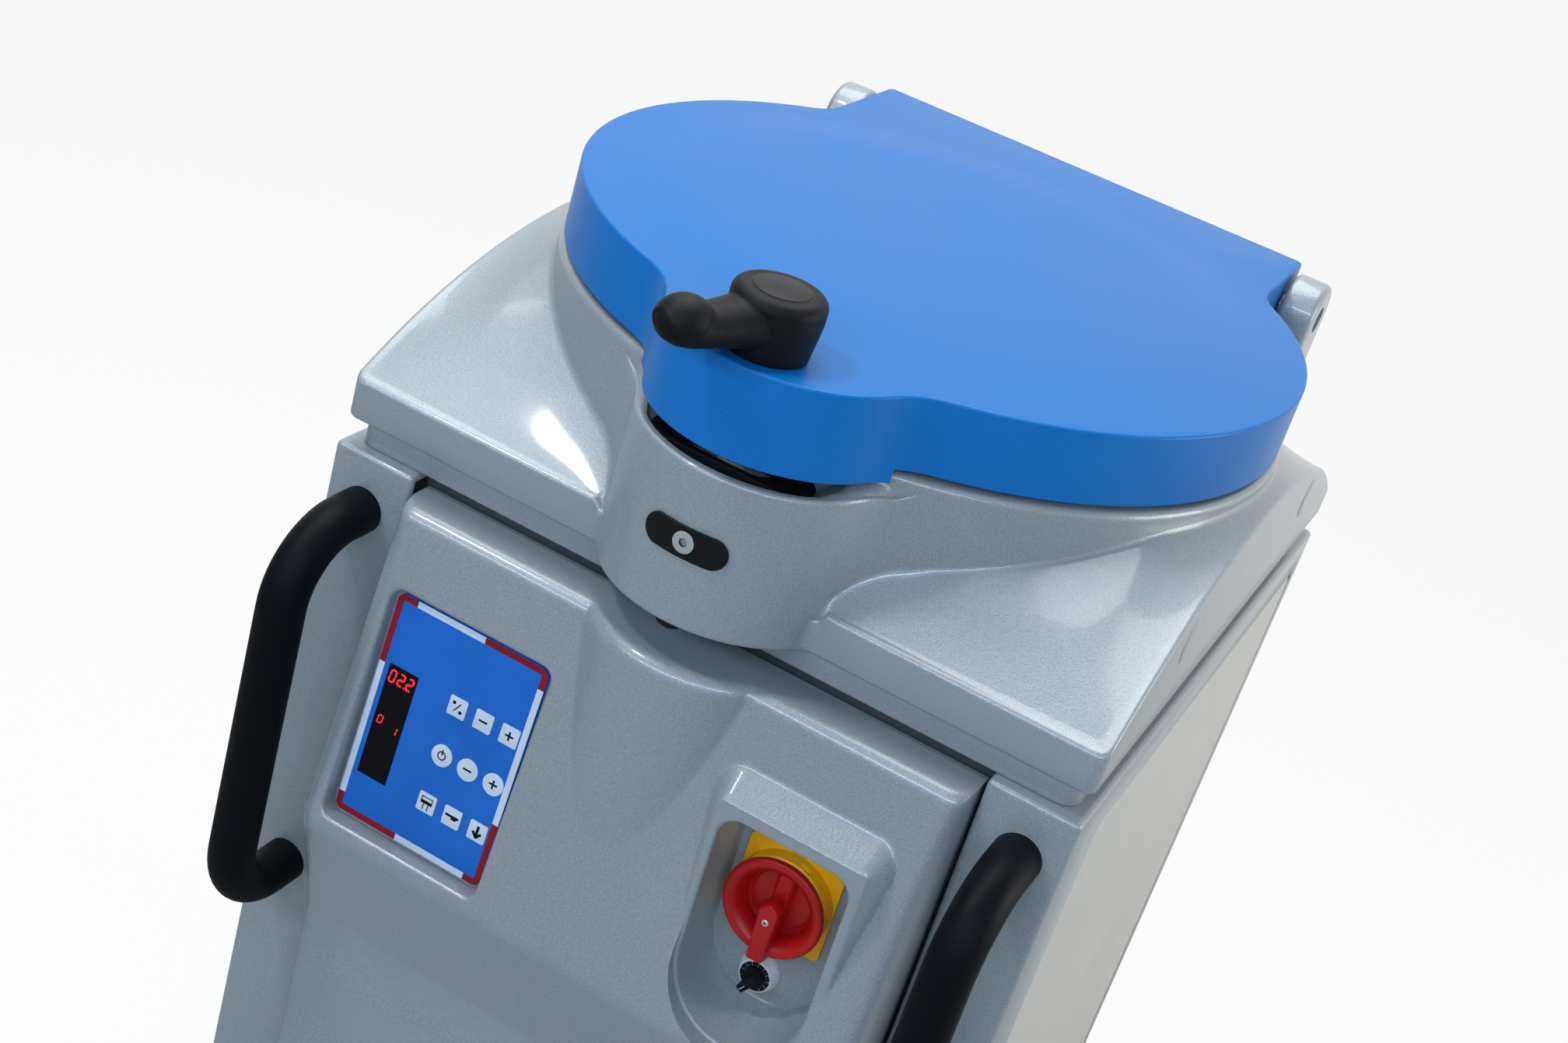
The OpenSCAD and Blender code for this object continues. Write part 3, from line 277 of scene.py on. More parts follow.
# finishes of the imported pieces, by their material slot
slotFinish = dict(frame_paint="silverPaint", panel_paint="palePaint", cover_paint="silverPaint",
                  lid_paint="bluePaint", black_plastic="blackMoulding", cap_plastic="blackCap",
                  black_tube="blackTube", black_steel="blackPlate", bright_steel="boltSteel",
                  pan_steel="panSteel", plate_alloy="plateAlloy", dark_steel="darkSteel", rubber="softRubber",
                  keypad_film="filmBlue", display_film="windowFilm", key_film="filmWhite",
                  switch_yellow="switchYellow", switch_red="switchRed", bezel_silver="bezelMetal",
                  wheel_grey="wheelTyre", zinc="zincPlate")
slotOf = {}
for name, node in nodes.items():
    for matSlot in node.material_slots:
        slotOf[name] = matSlot.material.name
        matSlot.material = finishes[slotFinish[slotOf[name]]]
nodes["knife_grid"].material_slots[0].material = finishes["knifeSteel"]
nodes["pump_motor"].material_slots[0].material = finishes["motorBlue"]
print("finishes made:", len(finishes))


# bmesh helpers
ownNames = dict(lid="blueLid", chassis="chassisPlate", nose_bumper="noseBuffer")


def put(node, bm, *moreLooks, place=seat, sharp=35):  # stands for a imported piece, with its body and slot
    first, *rest = node.split("_")
    name = ownNames.get(node, first + "".join(word.title() for word in rest))
    mesh = bpy.data.meshes.new(name)
    bm.transform(place)
    bm.to_mesh(mesh)
    bm.free()
    for look in (slotFinish[slotOf[node]], *moreLooks):
        mesh.materials.append(finishes[look])
    mesh.shade_smooth()
    mesh.set_sharp_from_angle(angle=math.radians(sharp))
    obj = bpy.data.objects.new(name, mesh)
    scene.collection.objects.link(obj)
    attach(obj, nodes[node]["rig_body"])
    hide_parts(node)


def moved(bm, matrix):
    bm.transform(matrix)
    return bm


def faced(bm):  # merges doubles and turns the faces outwards
    bmesh.ops.remove_doubles(bm, verts=bm.verts, dist=tiny)
    bmesh.ops.recalc_face_normals(bm, faces=bm.faces)
    return bm


def chain(bm, points):
    verts = [bm.verts.new(p) for p in points]
    for a, b in zip(verts, verts[1:]):
        bm.edges.new((a, b))
    return verts


def arcOn(bm, vert, centre, degrees, steps):  # carries a line on along an arc in the XY plane
    made = bmesh.ops.spin(bm, geom=[vert], cent=centre, axis=(0, 0, 1), dvec=(0, 0, 0),
                          angle=math.radians(degrees), steps=steps, use_duplicate=False)
    return next(g for g in made["geom_last"] if isinstance(g, bmesh.types.BMVert))


def spun(bm, steps):  # full turn round Z
    bmesh.ops.spin(bm, geom=bm.verts[:] + bm.edges[:], cent=(0, 0, 0), axis=(0, 0, 1), dvec=(0, 0, 0),
                   angle=math.tau, steps=steps, use_merge=True)
    return bm


def lathe(points, steps=64):
    bm = bmesh.new()
    chain(bm, [(r, 0, z) for r, z in points])
    return faced(spun(bm, steps))


def rod(r, low, high, steps=48):
    return lathe([(0, low), (r, low), (r, high), (0, high)], steps)


def rings(bm, r, z):  # edges of a lathe's ring
    def on(v):
        return abs(math.hypot(v.co.x, v.co.y) - r) < 0.02 and abs(v.co.z - z) < 0.02
    return [e for e in bm.edges if on(e.verts[0]) and on(e.verts[1])]


def edgesAt(bm, top):  # edges on a piece's top
    return [e for e in bm.edges if all(v.co.z > top - tiny for v in e.verts)]


def roundEdges(bm, edges, offset, segments=3):
    bmesh.ops.bevel(bm, geom=list(edges), offset=offset, offset_type="OFFSET", segments=segments, profile=0.5,
                    affect="EDGES", material=-1, clamp_overlap=True)


def roundCorners(bm, verts, offset, segments):
    bmesh.ops.bevel(bm, geom=list(verts), offset=offset, offset_type="OFFSET", segments=segments, profile=0.5,
                    affect="VERTICES", material=-1)


def lift(bm, faces, vec, keep=True):  # extrudes faces along vec, keeping the first ones as a cap
    made = bmesh.ops.extrude_face_region(bm, geom=faces)
    verts = [g for g in made["geom"] if isinstance(g, bmesh.types.BMVert)]
    bmesh.ops.translate(bm, vec=vec, verts=verts)
    if not keep:
        bmesh.ops.delete(bm, geom=[f for f in faces if f.is_valid], context="FACES_ONLY")
    return [g for g in made["geom"] if isinstance(g, bmesh.types.BMFace)]


def sheet(w, d):  # flat, on z 0
    bm = bmesh.new()
    bmesh.ops.create_grid(bm, x_segments=1, y_segments=1, size=0.5)
    bmesh.ops.scale(bm, vec=(w, d, 1), verts=bm.verts)
    return bm


def plate(w, d, t, cornerR, segments=6, edge=0.0):  # rounded plate on z 0
    bm = sheet(w, d)
    roundCorners(bm, bm.verts, cornerR, segments)
    lift(bm, bm.faces[:], (0, 0, t))
    faced(bm)
    if edge:
        roundEdges(bm, edgesAt(bm, t), edge, 2)
    return bm


def longPlate(w, d, t, edge=0.0):  # plate with half-round ends
    return plate(w, d, t, d / 2 - 0.01, 16, edge)


def prism(points, low, high):  # block on a flat outline
    bm = bmesh.new()
    bm.faces.new([bm.verts.new((x, y, low)) for x, y in points])
    lift(bm, bm.faces[:], (0, 0, high))
    return faced(bm)


def sliced(bm, place, normal, geom=None):
    geom = geom or bm.verts[:] + bm.edges[:] + bm.faces[:]
    bmesh.ops.bisect_plane(bm, geom=geom, plane_co=place, plane_no=normal)


def merge(bm, other, matrix=Matrix.Identity(4), slotIndex=0):  # adds another bmesh to bm
    other.transform(matrix)
    for f in other.faces:
        f.material_index = max(slotIndex, f.material_index)
    mesh = bpy.data.meshes.new("part")
    other.to_mesh(mesh)
    other.free()
    bm.from_mesh(mesh)
    bpy.data.meshes.remove(mesh)


def solidObject(name, bm):
    mesh = bpy.data.meshes.new(name)
    bm.to_mesh(mesh)
    bm.free()
    obj = bpy.data.objects.new(name, mesh)
    scene.collection.objects.link(obj)
    return obj


def taken(obj):  # evaluated mesh of a helper object, which goes
    shaped = obj.evaluated_get(bpy.context.evaluated_depsgraph_get())
    bm = bmesh.new()
    bm.from_mesh(shaped.to_mesh())
    shaped.to_mesh_clear()
    bpy.data.batch_remove([obj, obj.data])
    return bm


def carved(bm, *cutters):  # cuts solids out of a closed bmesh
    block = solidObject("block", bm)
    tools = [solidObject("cutter", c) for c in cutters]
    for tool in tools:
        cut = block.modifiers.new("cut", "BOOLEAN")
        cut.operation, cut.solver, cut.object = "DIFFERENCE", "EXACT", tool
    made = taken(block)
    for tool in tools:
        bpy.data.batch_remove([tool, tool.data])
    return made


def quarter(steps):  # angles of a quarter turn
    return [math.radians(90 * i / steps) for i in range(steps + 1)]


def filletCentre(y1, r1, y2, r2):  # beside two circles on the middle line
    y = (r1 * r1 - r2 * r2 + y2 * y2 - y1 * y1) / (2 * (y2 - y1))
    return Vector((math.sqrt(r1 * r1 - (y - y1) ** 2), y, 0))


def bearing(a, b):  # angle from a to b in the XY plane, in degrees
    return math.degrees(math.atan2(b[1] - a[1], b[0] - a[0]))


# blue lid: round casting with a front lobe and a straight tail
lid = dict(centreY=275.5, radius=260, lobeY=44, lobeR=86, lobeFillet=65, tailHalf=185.3, tailEnd=578.8,
           tailFillet=50, tailCorner=6, low=146.2, top=195.5, lobeLow=137, lobeCut=24, tailLow=158,
           tailCut=540, wall=6, topWall=8, edge=1.8, crownR=244, crown=3.2, crownPeak=0.4, crownEdge=0.25,
           crownRings=10, step=0.2, bossR=21.5, bossLen=30, hingeY=552, hingeZ=166)


def lidOutline(bm, z):
    pan, lobe = Vector((0, lid["centreY"], 0)), Vector((0, lid["lobeY"], 0))
    f = lid["lobeFillet"]
    blend = filletCentre(lid["lobeY"], lid["lobeR"] + f, lid["centreY"], lid["radius"] + f)
    tailX = lid["tailHalf"] + lid["tailFillet"]
    reach = lid["radius"] + lid["tailFillet"]
    tail = Vector((tailX, lid["centreY"] + math.sqrt(reach ** 2 - tailX ** 2), 0))
    v = bm.verts.new((0, lid["lobeY"] - lid["lobeR"], 0))
    v = arcOn(bm, v, lobe, bearing(lobe, blend) + 90, 40)
    v = arcOn(bm, v, blend, bearing(blend, pan) - bearing(blend, lobe), 16)
    v = arcOn(bm, v, pan, bearing(pan, tail) - bearing(blend, pan) + 180, 90)
    v = arcOn(bm, v, tail, -bearing(pan, tail), 16)
    c = lid["tailCorner"]
    side = bm.verts.new((lid["tailHalf"], lid["tailEnd"] - c, 0))
    bm.edges.new((v, side))
    v = arcOn(bm, side, (lid["tailHalf"] - c, lid["tailEnd"] - c, 0), 90, 6)
    bm.edges.new((v, bm.verts.new((0, lid["tailEnd"], 0))))
    bmesh.ops.mirror(bm, geom=bm.verts[:] + bm.edges[:], matrix=Matrix.Identity(4), merge_dist=tiny, axis="X")
    bmesh.ops.translate(bm, vec=(0, 0, z), verts=bm.verts)
    return bmesh.ops.contextual_create(bm, geom=bm.edges[:])["faces"]


def makeLid():
    bm = bmesh.new()
    low, top = lid["lobeLow"], lid["top"]
    lift(bm, lidOutline(bm, low), (0, 0, top - low))
    faced(bm)
    roundEdges(bm, edgesAt(bm, top), lid["edge"], 5)

    def underside():
        return [f for f in bm.faces if f.normal.z < -0.9 and f.calc_center_median().z < low + 1]

    rim = bmesh.ops.inset_region(bm, faces=underside(), thickness=lid["wall"], use_even_offset=True)["faces"]
    lift(bm, [f for f in underside() if f not in rim], (0, 0, top - lid["topWall"] - low), False)
    for y in (lid["lobeCut"], lid["tailCut"]):  # the lower edge steps up behind the lobe and at the tail
        for cut in (y, y + lid["step"]):
            sliced(bm, (0, cut, 0), (0, 1, 0))
    for v in bm.verts:
        if v.co.z < low + tiny and v.co.y > lid["lobeCut"] + lid["step"] / 2:
            v.co.z = lid["tailLow"] if v.co.y > lid["tailCut"] + lid["step"] / 2 else lid["low"]
    flat = [f for f in bm.faces if f.normal.z > 0.99 and f.calc_center_median().z > top - tiny]
    bmesh.ops.delete(bm, geom=flat, context="FACES")
    crown = []  # shallow dome, set into the opened top
    for i in range(lid["crownRings"] + 1):
        share = i / lid["crownRings"]
        swell = (1 - math.cos(math.pi * min(1, share / lid["crownEdge"]))) / 2 + lid["crownPeak"] * share
        crown.append((lid["crownR"] * (1 - share), lid["crown"] * swell))
    merge(bm, lathe(crown, 160), at(0, lid["centreY"], top))
    gap = [e for e in bm.edges if e.is_boundary]
    bmesh.ops.triangle_fill(bm, edges=gap, use_beauty=True, use_dissolve=False, normal=(0, 0, 1))
    faced(bm)
    for side in (-1, 1):  # hinge bosses
        spot = at(side * (lid["tailHalf"] - lid["bossLen"]), lid["hingeY"], lid["hingeZ"])
        merge(bm, rod(lid["bossR"], 0, lid["bossLen"]), spot @ turned(90 * side, "Y"))
    put("lid", bm)


makeLid()
print("lid made")


# grey top cover: dished shoulders round a collar, with a nose in front
cover = dict(half=275, front=2, rear=562, corner=8, leastCorner=2, low=18.8, leastRise=16, crestY=275,
             crestZ=127, archR=499, panY=275.5, collarR=262, collarZ=142, collarEdge=5, rimR=210, rimLow=134,
             rimEdge=2, foot=3, dish=14, dishReach=40, edge=4.5, heel=10, skirtIn=10, lowEdge=3, bottomR=216,
             noseR=87, noseY=43, noseZ=125, noseFillet=60, noseEdge=3, noseRim=7, ledge=116,
             rimTurns=((8, 20), (20, 25)), rimRise=(2, 6.5), pocketGap=26, pocketBlend=16, narrow=8, fall=0.3,
             slotW=60, slotD=24, slotY=-8, slotLow=109, cavityR=25, cavityLow=92,
             turns=((10, 0.5), (26, 0.2), (43.6, 0.8), (46.8, 0.12), (134.6, 0.9), (137.8, 0.12), (180, 0.9)))


def filletGap(x, y, plain, centre, r, ends):  # distance to two outlines and the fillet that joins them
    to = Vector((abs(x), y)) - centre
    first, last = [(end - centre).normalized() for end in ends]
    across = first.x * last.y - first.y * last.x
    sides = (first.x * to.y - first.y * to.x) * across, (to.x * last.y - to.y * last.x) * across
    return r - to.length if min(sides) >= 0 and to.dot(first + last) > 0 and to.length < 2 * r else plain


def planGap(x, y, inset):  # signed distance to the cover's rounded outline, drawn in by inset
    r = max(cover["corner"] - inset, cover["leastCorner"])
    midY = (cover["front"] + cover["rear"]) / 2
    dx = abs(x) - (cover["half"] - inset - r)
    dy = abs(y - midY) - ((cover["rear"] - cover["front"]) / 2 - inset - r)
    return math.hypot(max(dx, 0), max(dy, 0)) + min(max(dx, dy), 0) - r


def noseGap(x, y):
    return math.hypot(x, y - cover["noseY"]) - cover["noseR"]


def wallGap(x, y):  # distance to the nose and collar wall
    f = cover["noseFillet"]
    plain = min(math.hypot(x, y - cover["panY"]) - cover["collarR"], noseGap(x, y))
    centre = filletCentre(cover["noseY"], cover["noseR"] + f, cover["panY"], cover["collarR"] + f).to_2d()
    return filletGap(x, y, plain, centre, f, (Vector((0, cover["noseY"])), Vector((0, cover["panY"]))))


def skirtGap(x, y, inset, noseInset=0.0):  # distance to the outline of the shoulders and the nose
    h, r = cover["heel"], cover["noseR"] - noseInset
    low = cover["front"] + inset - h
    centre = Vector((math.sqrt((r + h) ** 2 - (cover["noseY"] - low) ** 2), low))
    plain = min(planGap(x, y, inset), noseGap(x, y) + noseInset)
    return filletGap(x, y, plain, centre, h, (Vector((0, cover["noseY"])), centre + Vector((0, h))))


def ease(share):
    share = min(max(share, 0), 1)
    return share * share * (3 - 2 * share)


def shoulderZ(x, y):
    arch = cover["crestZ"] - cover["archR"] + math.sqrt(cover["archR"] ** 2 - (y - cover["crestY"]) ** 2)
    side = max(cover["half"] - abs(x), tiny)
    end = max(min(y - cover["front"], cover["rear"] - y), tiny)
    edge = side * end / math.hypot(side, end)  # room to the outer edge, smooth across the corners
    wall = max(wallGap(x, y), 0)
    rise = cover["dish"] * min(1, edge / cover["dishReach"]) * edge / (edge + wall)
    near = max(cover["foot"] - wall, 0)
    foot = cover["foot"] - math.sqrt(cover["foot"] ** 2 - near ** 2)
    return max(arch + rise + foot, cover["low"] + cover["leastRise"])


def coverProfile(turn):  # one section of the cover from its inner rim to its lower edge, as (reach, height)
    dx, dy = math.sin(turn), -math.cos(turn)

    def reach(gap, *insets):  # from the pan's axis to an outline
        far = 150.0
        for _ in range(150):
            step = -gap(far * dx, cover["panY"] + far * dy, *insets)
            far += step
            if abs(step) < 0.002:
                break
        return far

    def shoulder(far):
        return shoulderZ(far * dx, cover["panY"] + far * dy)

    c, z, e, rim = cover["collarR"], cover["collarZ"], cover["collarEdge"], cover["rimEdge"]
    rows = [(cover["rimR"], cover["rimLow"]), (cover["rimR"], z - rim), (cover["rimR"] + rim, z)]
    rows += [(c - e + e * math.sin(a), z - e + e * math.cos(a)) for a in quarter(5)]
    wall = reach(wallGap)
    gap = wall - c
    away = math.degrees(abs(math.remainder(turn, math.tau)))
    climb = [rise * ease((away - a) / (b - a)) for (a, b), rise in zip(cover["rimTurns"], cover["rimRise"])]
    top = cover["noseZ"] + sum(climb)  # the nose rim climbs to the collar wall
    seam = cover["noseZ"] + sum(cover["rimRise"])
    share = ease((gap - cover["pocketGap"]) / cover["pocketBlend"])  # 1 in the pocket, 0 where the rim leans
    n, inner, ledge = min(cover["noseEdge"], gap), wall - cover["noseRim"], cover["ledge"]
    pocketRows = [(c, ledge + 1), (c + 1, ledge), (inner - 1, ledge), (inner, ledge + 1), (inner, top - 1.2),
                  (inner + 0.4, top - 0.3)]
    for i, (r, h) in enumerate(pocketRows, 1):
        part = i / (len(pocketRows) + 1)
        flat = (c + (gap - n) * part, seam + 0.6 + (top - seam) * part)
        rows.append((flat[0] + (r - flat[0]) * share, flat[1] + (h - flat[1]) * share))
    rows += [(wall - n + n * math.sin(a), top - cover["noseEdge"] * (1 - math.cos(a))) for a in quarter(5)]
    edge = cover["edge"]
    brow = max(reach(skirtGap, edge), wall)
    outer = max(reach(skirtGap, 0), wall)
    high = rows[-1][1]
    rows += [(wall, high + (shoulder(wall) - high) * i / 6) for i in range(1, 6)]
    wide = brow - wall
    near = min(1.1 * cover["foot"], 0.45 * wide)
    spots = [near * (1 - math.cos(a)) for a in quarter(8)]
    spots += [near + (wide - near) * i / 14 for i in range(1, 15)]
    fall = cover["fall"] * (1 - ease(wide / cover["narrow"]))  # keeps narrow shoulders sloping outwards
    rows += [(wall + spot, shoulder(wall + spot) - fall * i) for i, spot in enumerate(spots)]
    high = rows[-1][1]
    rows += [(brow + (outer - brow) * math.sin(a), high - edge * (1 - math.cos(a))) for a in quarter(6)[1:]]
    low, b = cover["low"], cover["lowEdge"]
    rows.append((outer, (high - edge + low + b) / 2))
    for a in quarter(3):
        inset = b * (1 - math.cos(a))
        rows.append((reach(skirtGap, inset, inset), low + b * (1 - math.sin(a))))
    return rows + [(reach(skirtGap, cover["skirtIn"], cover["skirtIn"]), low), (cover["bottomR"], low)]


def makeTopCover():
    half = [0.0]
    for end, step in cover["turns"]:
        first = half[-1]
        count = max(1, round((end - first) / step))
        half += [first + (end - first) * (i + 1) / count for i in range(count)]
    turns = [math.radians(t) for t in half + [360 - t for t in reversed(half[1:-1])]]
    sections = [coverProfile(t) for t in turns]
    bm = bmesh.new()
    start = 10  # the round blank's first row, with the others 1 mm apart
    verts = chain(bm, [(start + i, 0, 0) for i in range(len(sections[0]))])
    bm.edges.new((verts[-1], verts[0]))
    spun(bm, len(turns))
    for v in bm.verts:  # the blank is drawn to the section at each angle
        column = round(math.atan2(v.co.y, v.co.x) / math.tau * len(turns)) % len(turns)
        far, high = sections[column][round(math.hypot(v.co.x, v.co.y)) - start]
        v.co = (far * math.sin(turns[column]), cover["panY"] - far * math.cos(turns[column]), high)
    faced(bm)
    slot = longPlate(cover["slotW"], cover["slotD"], cover["ledge"] - cover["slotLow"] + 20)
    cavity = rod(cover["cavityR"], 0, cover["slotLow"] - cover["cavityLow"] + 1)
    cutters = [moved(slot, at(0, cover["slotY"], cover["slotLow"])),
               moved(cavity, at(0, cover["slotY"], cover["cavityLow"]))]
    put("top_cover", carved(bm, *cutters), sharp=40)


makeTopCover()
print("top cover made")


# front cover: sloped console with a chin, a keypad pocket and a raised surround round the switch recess
front = dict(half=210.5, back=18, topDrop=10, topOut=18.6, tilt=10, kneeDrop=245, creaseDrop=340,
             creaseOut=27, lowOut=24, lowDrop=723, topR=10, kneeR=25, creaseR=25, sideR=13, columns=280,
             rowStep=2.5, highest=20, chinR=87, chinY=43, chinBlend=0.6, surLeft=58, surRight=190,
             surSide=13, surDrop=57.5, surSlope=15, surOut=47, surBlend=0.8, surCorner=1.8, surR=6)
keypad = dict(x=-190.6, y=-23.6, z=-66.4, tilt=7.8, w=119.5, h=167, t=3, corner=6, gap=3, slack=0.2,
              mouth=3, draft=0.5, out=12)
recess = dict(x=123, w=90, top=-84, low=-232, floorY=-1, topR=15, lowR=44, draft=1.5, mouth=2.2, sag=9,
              out=40, floorRows=((0, -2, 0), (0.6, -0.6, 0), (2, 0, 0.4)))  # depth, growth and sag


def slopeY(drop):
    return -front["topOut"] - (drop - front["topDrop"]) * math.tan(math.radians(front["tilt"]))


def softMax(a, b, k):
    gap = min(max(0.5 + 0.5 * (a - b) / k, 0), 1)
    return b + (a - b) * gap + k * gap * (1 - gap)


def bulge(x, z):  # how far the chin and the surround stand in front of the plain slope
    base = slopeY(max(-z, front["highest"]))
    out = 0.0
    if abs(x) < front["chinR"] - 0.5:
        ahead = base - front["chinY"] + math.sqrt(front["chinR"] ** 2 - x * x)
        if ahead > -front["chinBlend"]:
            out = softMax(ahead, 0, front["chinBlend"])
    if z > -front["kneeDrop"]:
        foot = slopeY(front["surDrop"])
        rise = -front["surOut"] - foot
        r, side, slope = front["surR"], front["surSide"], front["surSlope"]
        wide = (front["surRight"] - front["surLeft"]) / 2
        dx = abs(x - (front["surLeft"] + front["surRight"]) / 2) - (wide - side - r)
        dz = z + front["surDrop"] + slope + r
        off = math.hypot(max(dx, 0) / side, max(dz, 0) / slope) - r / side
        ahead = base - softMax(-front["surOut"], foot + rise * (1 - off), front["surCorner"])
        if ahead > -front["surBlend"]:
            out = max(out, softMax(ahead, 0, front["surBlend"]))
    return out


def bevelCorner(bm, vert, radius, segments):  # rounds one corner of a flat outline
    a, b = [(e.other_vert(vert).co - vert.co).normalized() for e in vert.link_edges]
    roundCorners(bm, [vert], radius / math.tan(a.angle(b) / 2), segments)


def pocket(w, h, topR, lowR, rows):  # closed cutter lofted through the rows (matrix, growth, sag)
    bm = sheet(w, h)
    for x, y, r in ((-1, -1, lowR), (-1, 1, topR), (1, -1, lowR), (1, 1, topR)):
        spot = Vector((x * w / 2, y * h / 2, 0))
        bevelCorner(bm, min(bm.verts, key=lambda v: (v.co - spot).length), r, 10)
    faces = bm.faces[:]
    for i in range(1, len(rows)):
        faces = lift(bm, faces, (0, 0, 1), i == 1)
    for v in bm.verts:
        matrix, grow, sag = rows[round(v.co.z)]
        y = v.co.y * (h + 2 * grow) / h - sag * max(-v.co.y / (h / 2), 0) ** 2
        v.co = matrix @ Vector((v.co.x * (w + 2 * grow) / w, y, 0))
    return faced(bm)


def mouthRows(matrix, radius, grow, sag, outward):  # rounded lip: quarter circle that opens outwards
    rows = []
    for a in quarter(5):
        depth = -radius * (1 - math.sin(a))
        rows.append((matrix @ at(0, 0, depth), grow + radius * (1 - math.cos(a)), sag))
    return rows + [(matrix @ at(0, 0, outward), grow + radius, sag)]


def padSeat(y, tilt):  # plane at the keypad's upper left corner: X right, Y up the slope, Z to the front
    return at(keypad["x"], y, keypad["z"]) @ turned(-tilt, "X") @ upright


padPlane = padSeat(keypad["y"], keypad["tilt"])
padMiddle = at(keypad["w"] / 2, -keypad["h"] / 2, 0)


def makeFrontCover():
    bm = bmesh.new()
    back, crease = front["back"], front["creaseDrop"]
    points = [(back, -front["topDrop"]), (-front["topOut"], -front["topDrop"]),
              (slopeY(front["kneeDrop"]), -front["kneeDrop"]), (-front["creaseOut"], -crease),
              (-front["lowOut"], -front["lowDrop"]), (back, -front["lowDrop"])]
    verts = [bm.verts.new((-front["half"], y, z)) for y, z in points]
    bm.faces.new(verts)
    for vert, r in zip(verts[1:4], (front["topR"], front["kneeR"], front["creaseR"])):
        bevelCorner(bm, vert, r, 8)
    for e in bm.edges[:]:
        cuts = int(e.calc_length() / front["rowStep"]) - 1
        ends = [v.co for v in e.verts]
        if cuts > 0 and not all(abs(c.y - back) < tiny for c in ends):
            if all(c.z < -crease for c in ends):
                cuts //= 4  # wider rows on the plain lower panel
            bmesh.ops.subdivide_edges(bm, edges=[e], cuts=cuts)
    bmesh.ops.spin(bm, geom=bm.verts[:] + bm.edges[:] + bm.faces[:], cent=(0, 0, 0), axis=(1, 0, 0),
                   dvec=(2 * front["half"] / front["columns"], 0, 0), angle=0, steps=front["columns"])
    faced(bm)
    edgeY = -front["topOut"] + front["topR"]
    for v in bm.verts:
        x, y, z = v.co
        share = min(max((back - y) / (back - edgeY), 0), 1)
        side = max(abs(x) - (front["half"] - front["sideR"]), 0)
        drawn = front["sideR"] - math.sqrt(max(front["sideR"] ** 2 - side ** 2, 0))
        v.co.y = y - share * (bulge(x, z) - drawn)

    panel = padPlane @ padMiddle
    mouth = padSeat(slopeY(-keypad["z"]), front["tilt"]) @ padMiddle
    rows = [(panel @ at(0, 0, -keypad["t"] - keypad["slack"]), 0, 0), (panel, 0, 0)]
    rows += mouthRows(mouth, keypad["mouth"], keypad["draft"], 0, keypad["out"])
    corner = keypad["corner"] + keypad["gap"]
    keyCut = pocket(keypad["w"] + 2 * keypad["gap"], keypad["h"] + 2 * keypad["gap"], corner, corner, rows)
    midZ = (recess["top"] + recess["low"]) / 2
    floor = at(recess["x"], recess["floorY"], midZ) @ upright
    lip = at(recess["x"], -front["surOut"], midZ) @ upright
    rows = [(floor @ at(0, 0, depth), grow, sag) for depth, grow, sag in recess["floorRows"]]
    rows += mouthRows(lip, recess["mouth"], recess["draft"], recess["sag"], recess["out"])
    switchCut = pocket(recess["w"], recess["top"] - recess["low"], recess["topR"], recess["lowR"], rows)
    put("front_cover", carved(bm, keyCut, switchCut), sharp=32)


makeFrontCover()
print("front cover made")


# keypad with its film border, display and keys
border = dict(w=4.6, t=0.15, gap=0.3, inset=0.4, corner=5.5, edge=0.4, window=(8.5, 50, 23.5, 84.4),
              white=dict(top=(0.13, 0.58), bottom=(0.42, 0.89), right=(0.09, 0.71), left=(0.31, 0.92)))
keys = dict(u=65, v=55.3, stepU=20.75, stepV=37.25, side=14, corner=1.2, roundR=8, t=2.2, edge=0.25,
            proud=0.4, ink=0.08, inkSink=0.02)
display = dict(t=1.4, low=-1.5, slack=0.2, figureLow=-0.12, figureT=0.07, stroke=0.15, lean=0.12, leanTurn=7,
               figures=(("0", 2.6, 12.6, 4.0, 8.6), ("2", 9.6, 12.6, 4.0, 8.6), ("2", 16.6, 12.6, 4.0, 8.6),
                        ("0", 3.2, 44, 3.6, 5.6), ("1", 15.6, 47, 3.6, 5.6)),  # figure, right, down, w, h
               dot=(14.9, 12.6, 1.1))
segmentsOf = {"0": "abcdef", "1": "bc", "2": "abged"}
plus = ((6.6, 1.4), (1.4, 6.6))  # bars of the signs, as (w, h, x, y, turn, corner)
signs = {1: ((0.8, 8, 0, 0, -32), (2.6, 2.6, -3, 2.6, 0, 1.29), (2.6, 2.6, 3, -2.6, 0, 1.29)),
         2: plus[:1], 3: plus, 4: ((1.0, 4.2, 0, 2.6),), 5: plus[:1], 6: plus,
         7: ((9, 2.4, 0, 0.4), (9, 0.7, 0, 4.0), (0.7, 4.6, -4.1, 2.2), (0.7, 4.6, 4.1, 2.2),
             (0.8, 4.6, -1.8, -3.0), (0.8, 4.6, 1.8, -3.0)),
         8: ((10.5, 1.8, 0, 0.8), (4.2, 1.4, 1.6, -0.8)),
         9: ((2.1, 7.4, 0, 0.8), (5.4, 2.1, -1.5, -2.3, -48), (5.4, 2.1, 1.5, -2.3, 48))}
signRing = dict(key=4, r=2.4, outer=3.3)


def bar(w, h, x=0, y=0, turn=0, corner=0.12, t=keys["ink"]):  # small flat mark
    return moved(plate(w, h, t, corner, 3), at(x, y, 0) @ turned(turn, "Z"))


def keySpot(i):
    row, column = divmod(i - 1, 3)
    return Vector((keys["u"] + column * keys["stepU"], -keys["v"] - row * keys["stepV"], 0)), row == 1


def keyBlock(i, grow, t):
    spot, isRound = keySpot(i)
    side = keys["side"] + 2 * grow
    bm = rod(keys["roundR"] + grow, 0, t) if isRound else plate(side, side, t, keys["corner"] + grow, 4)
    return moved(bm, at(*spot))


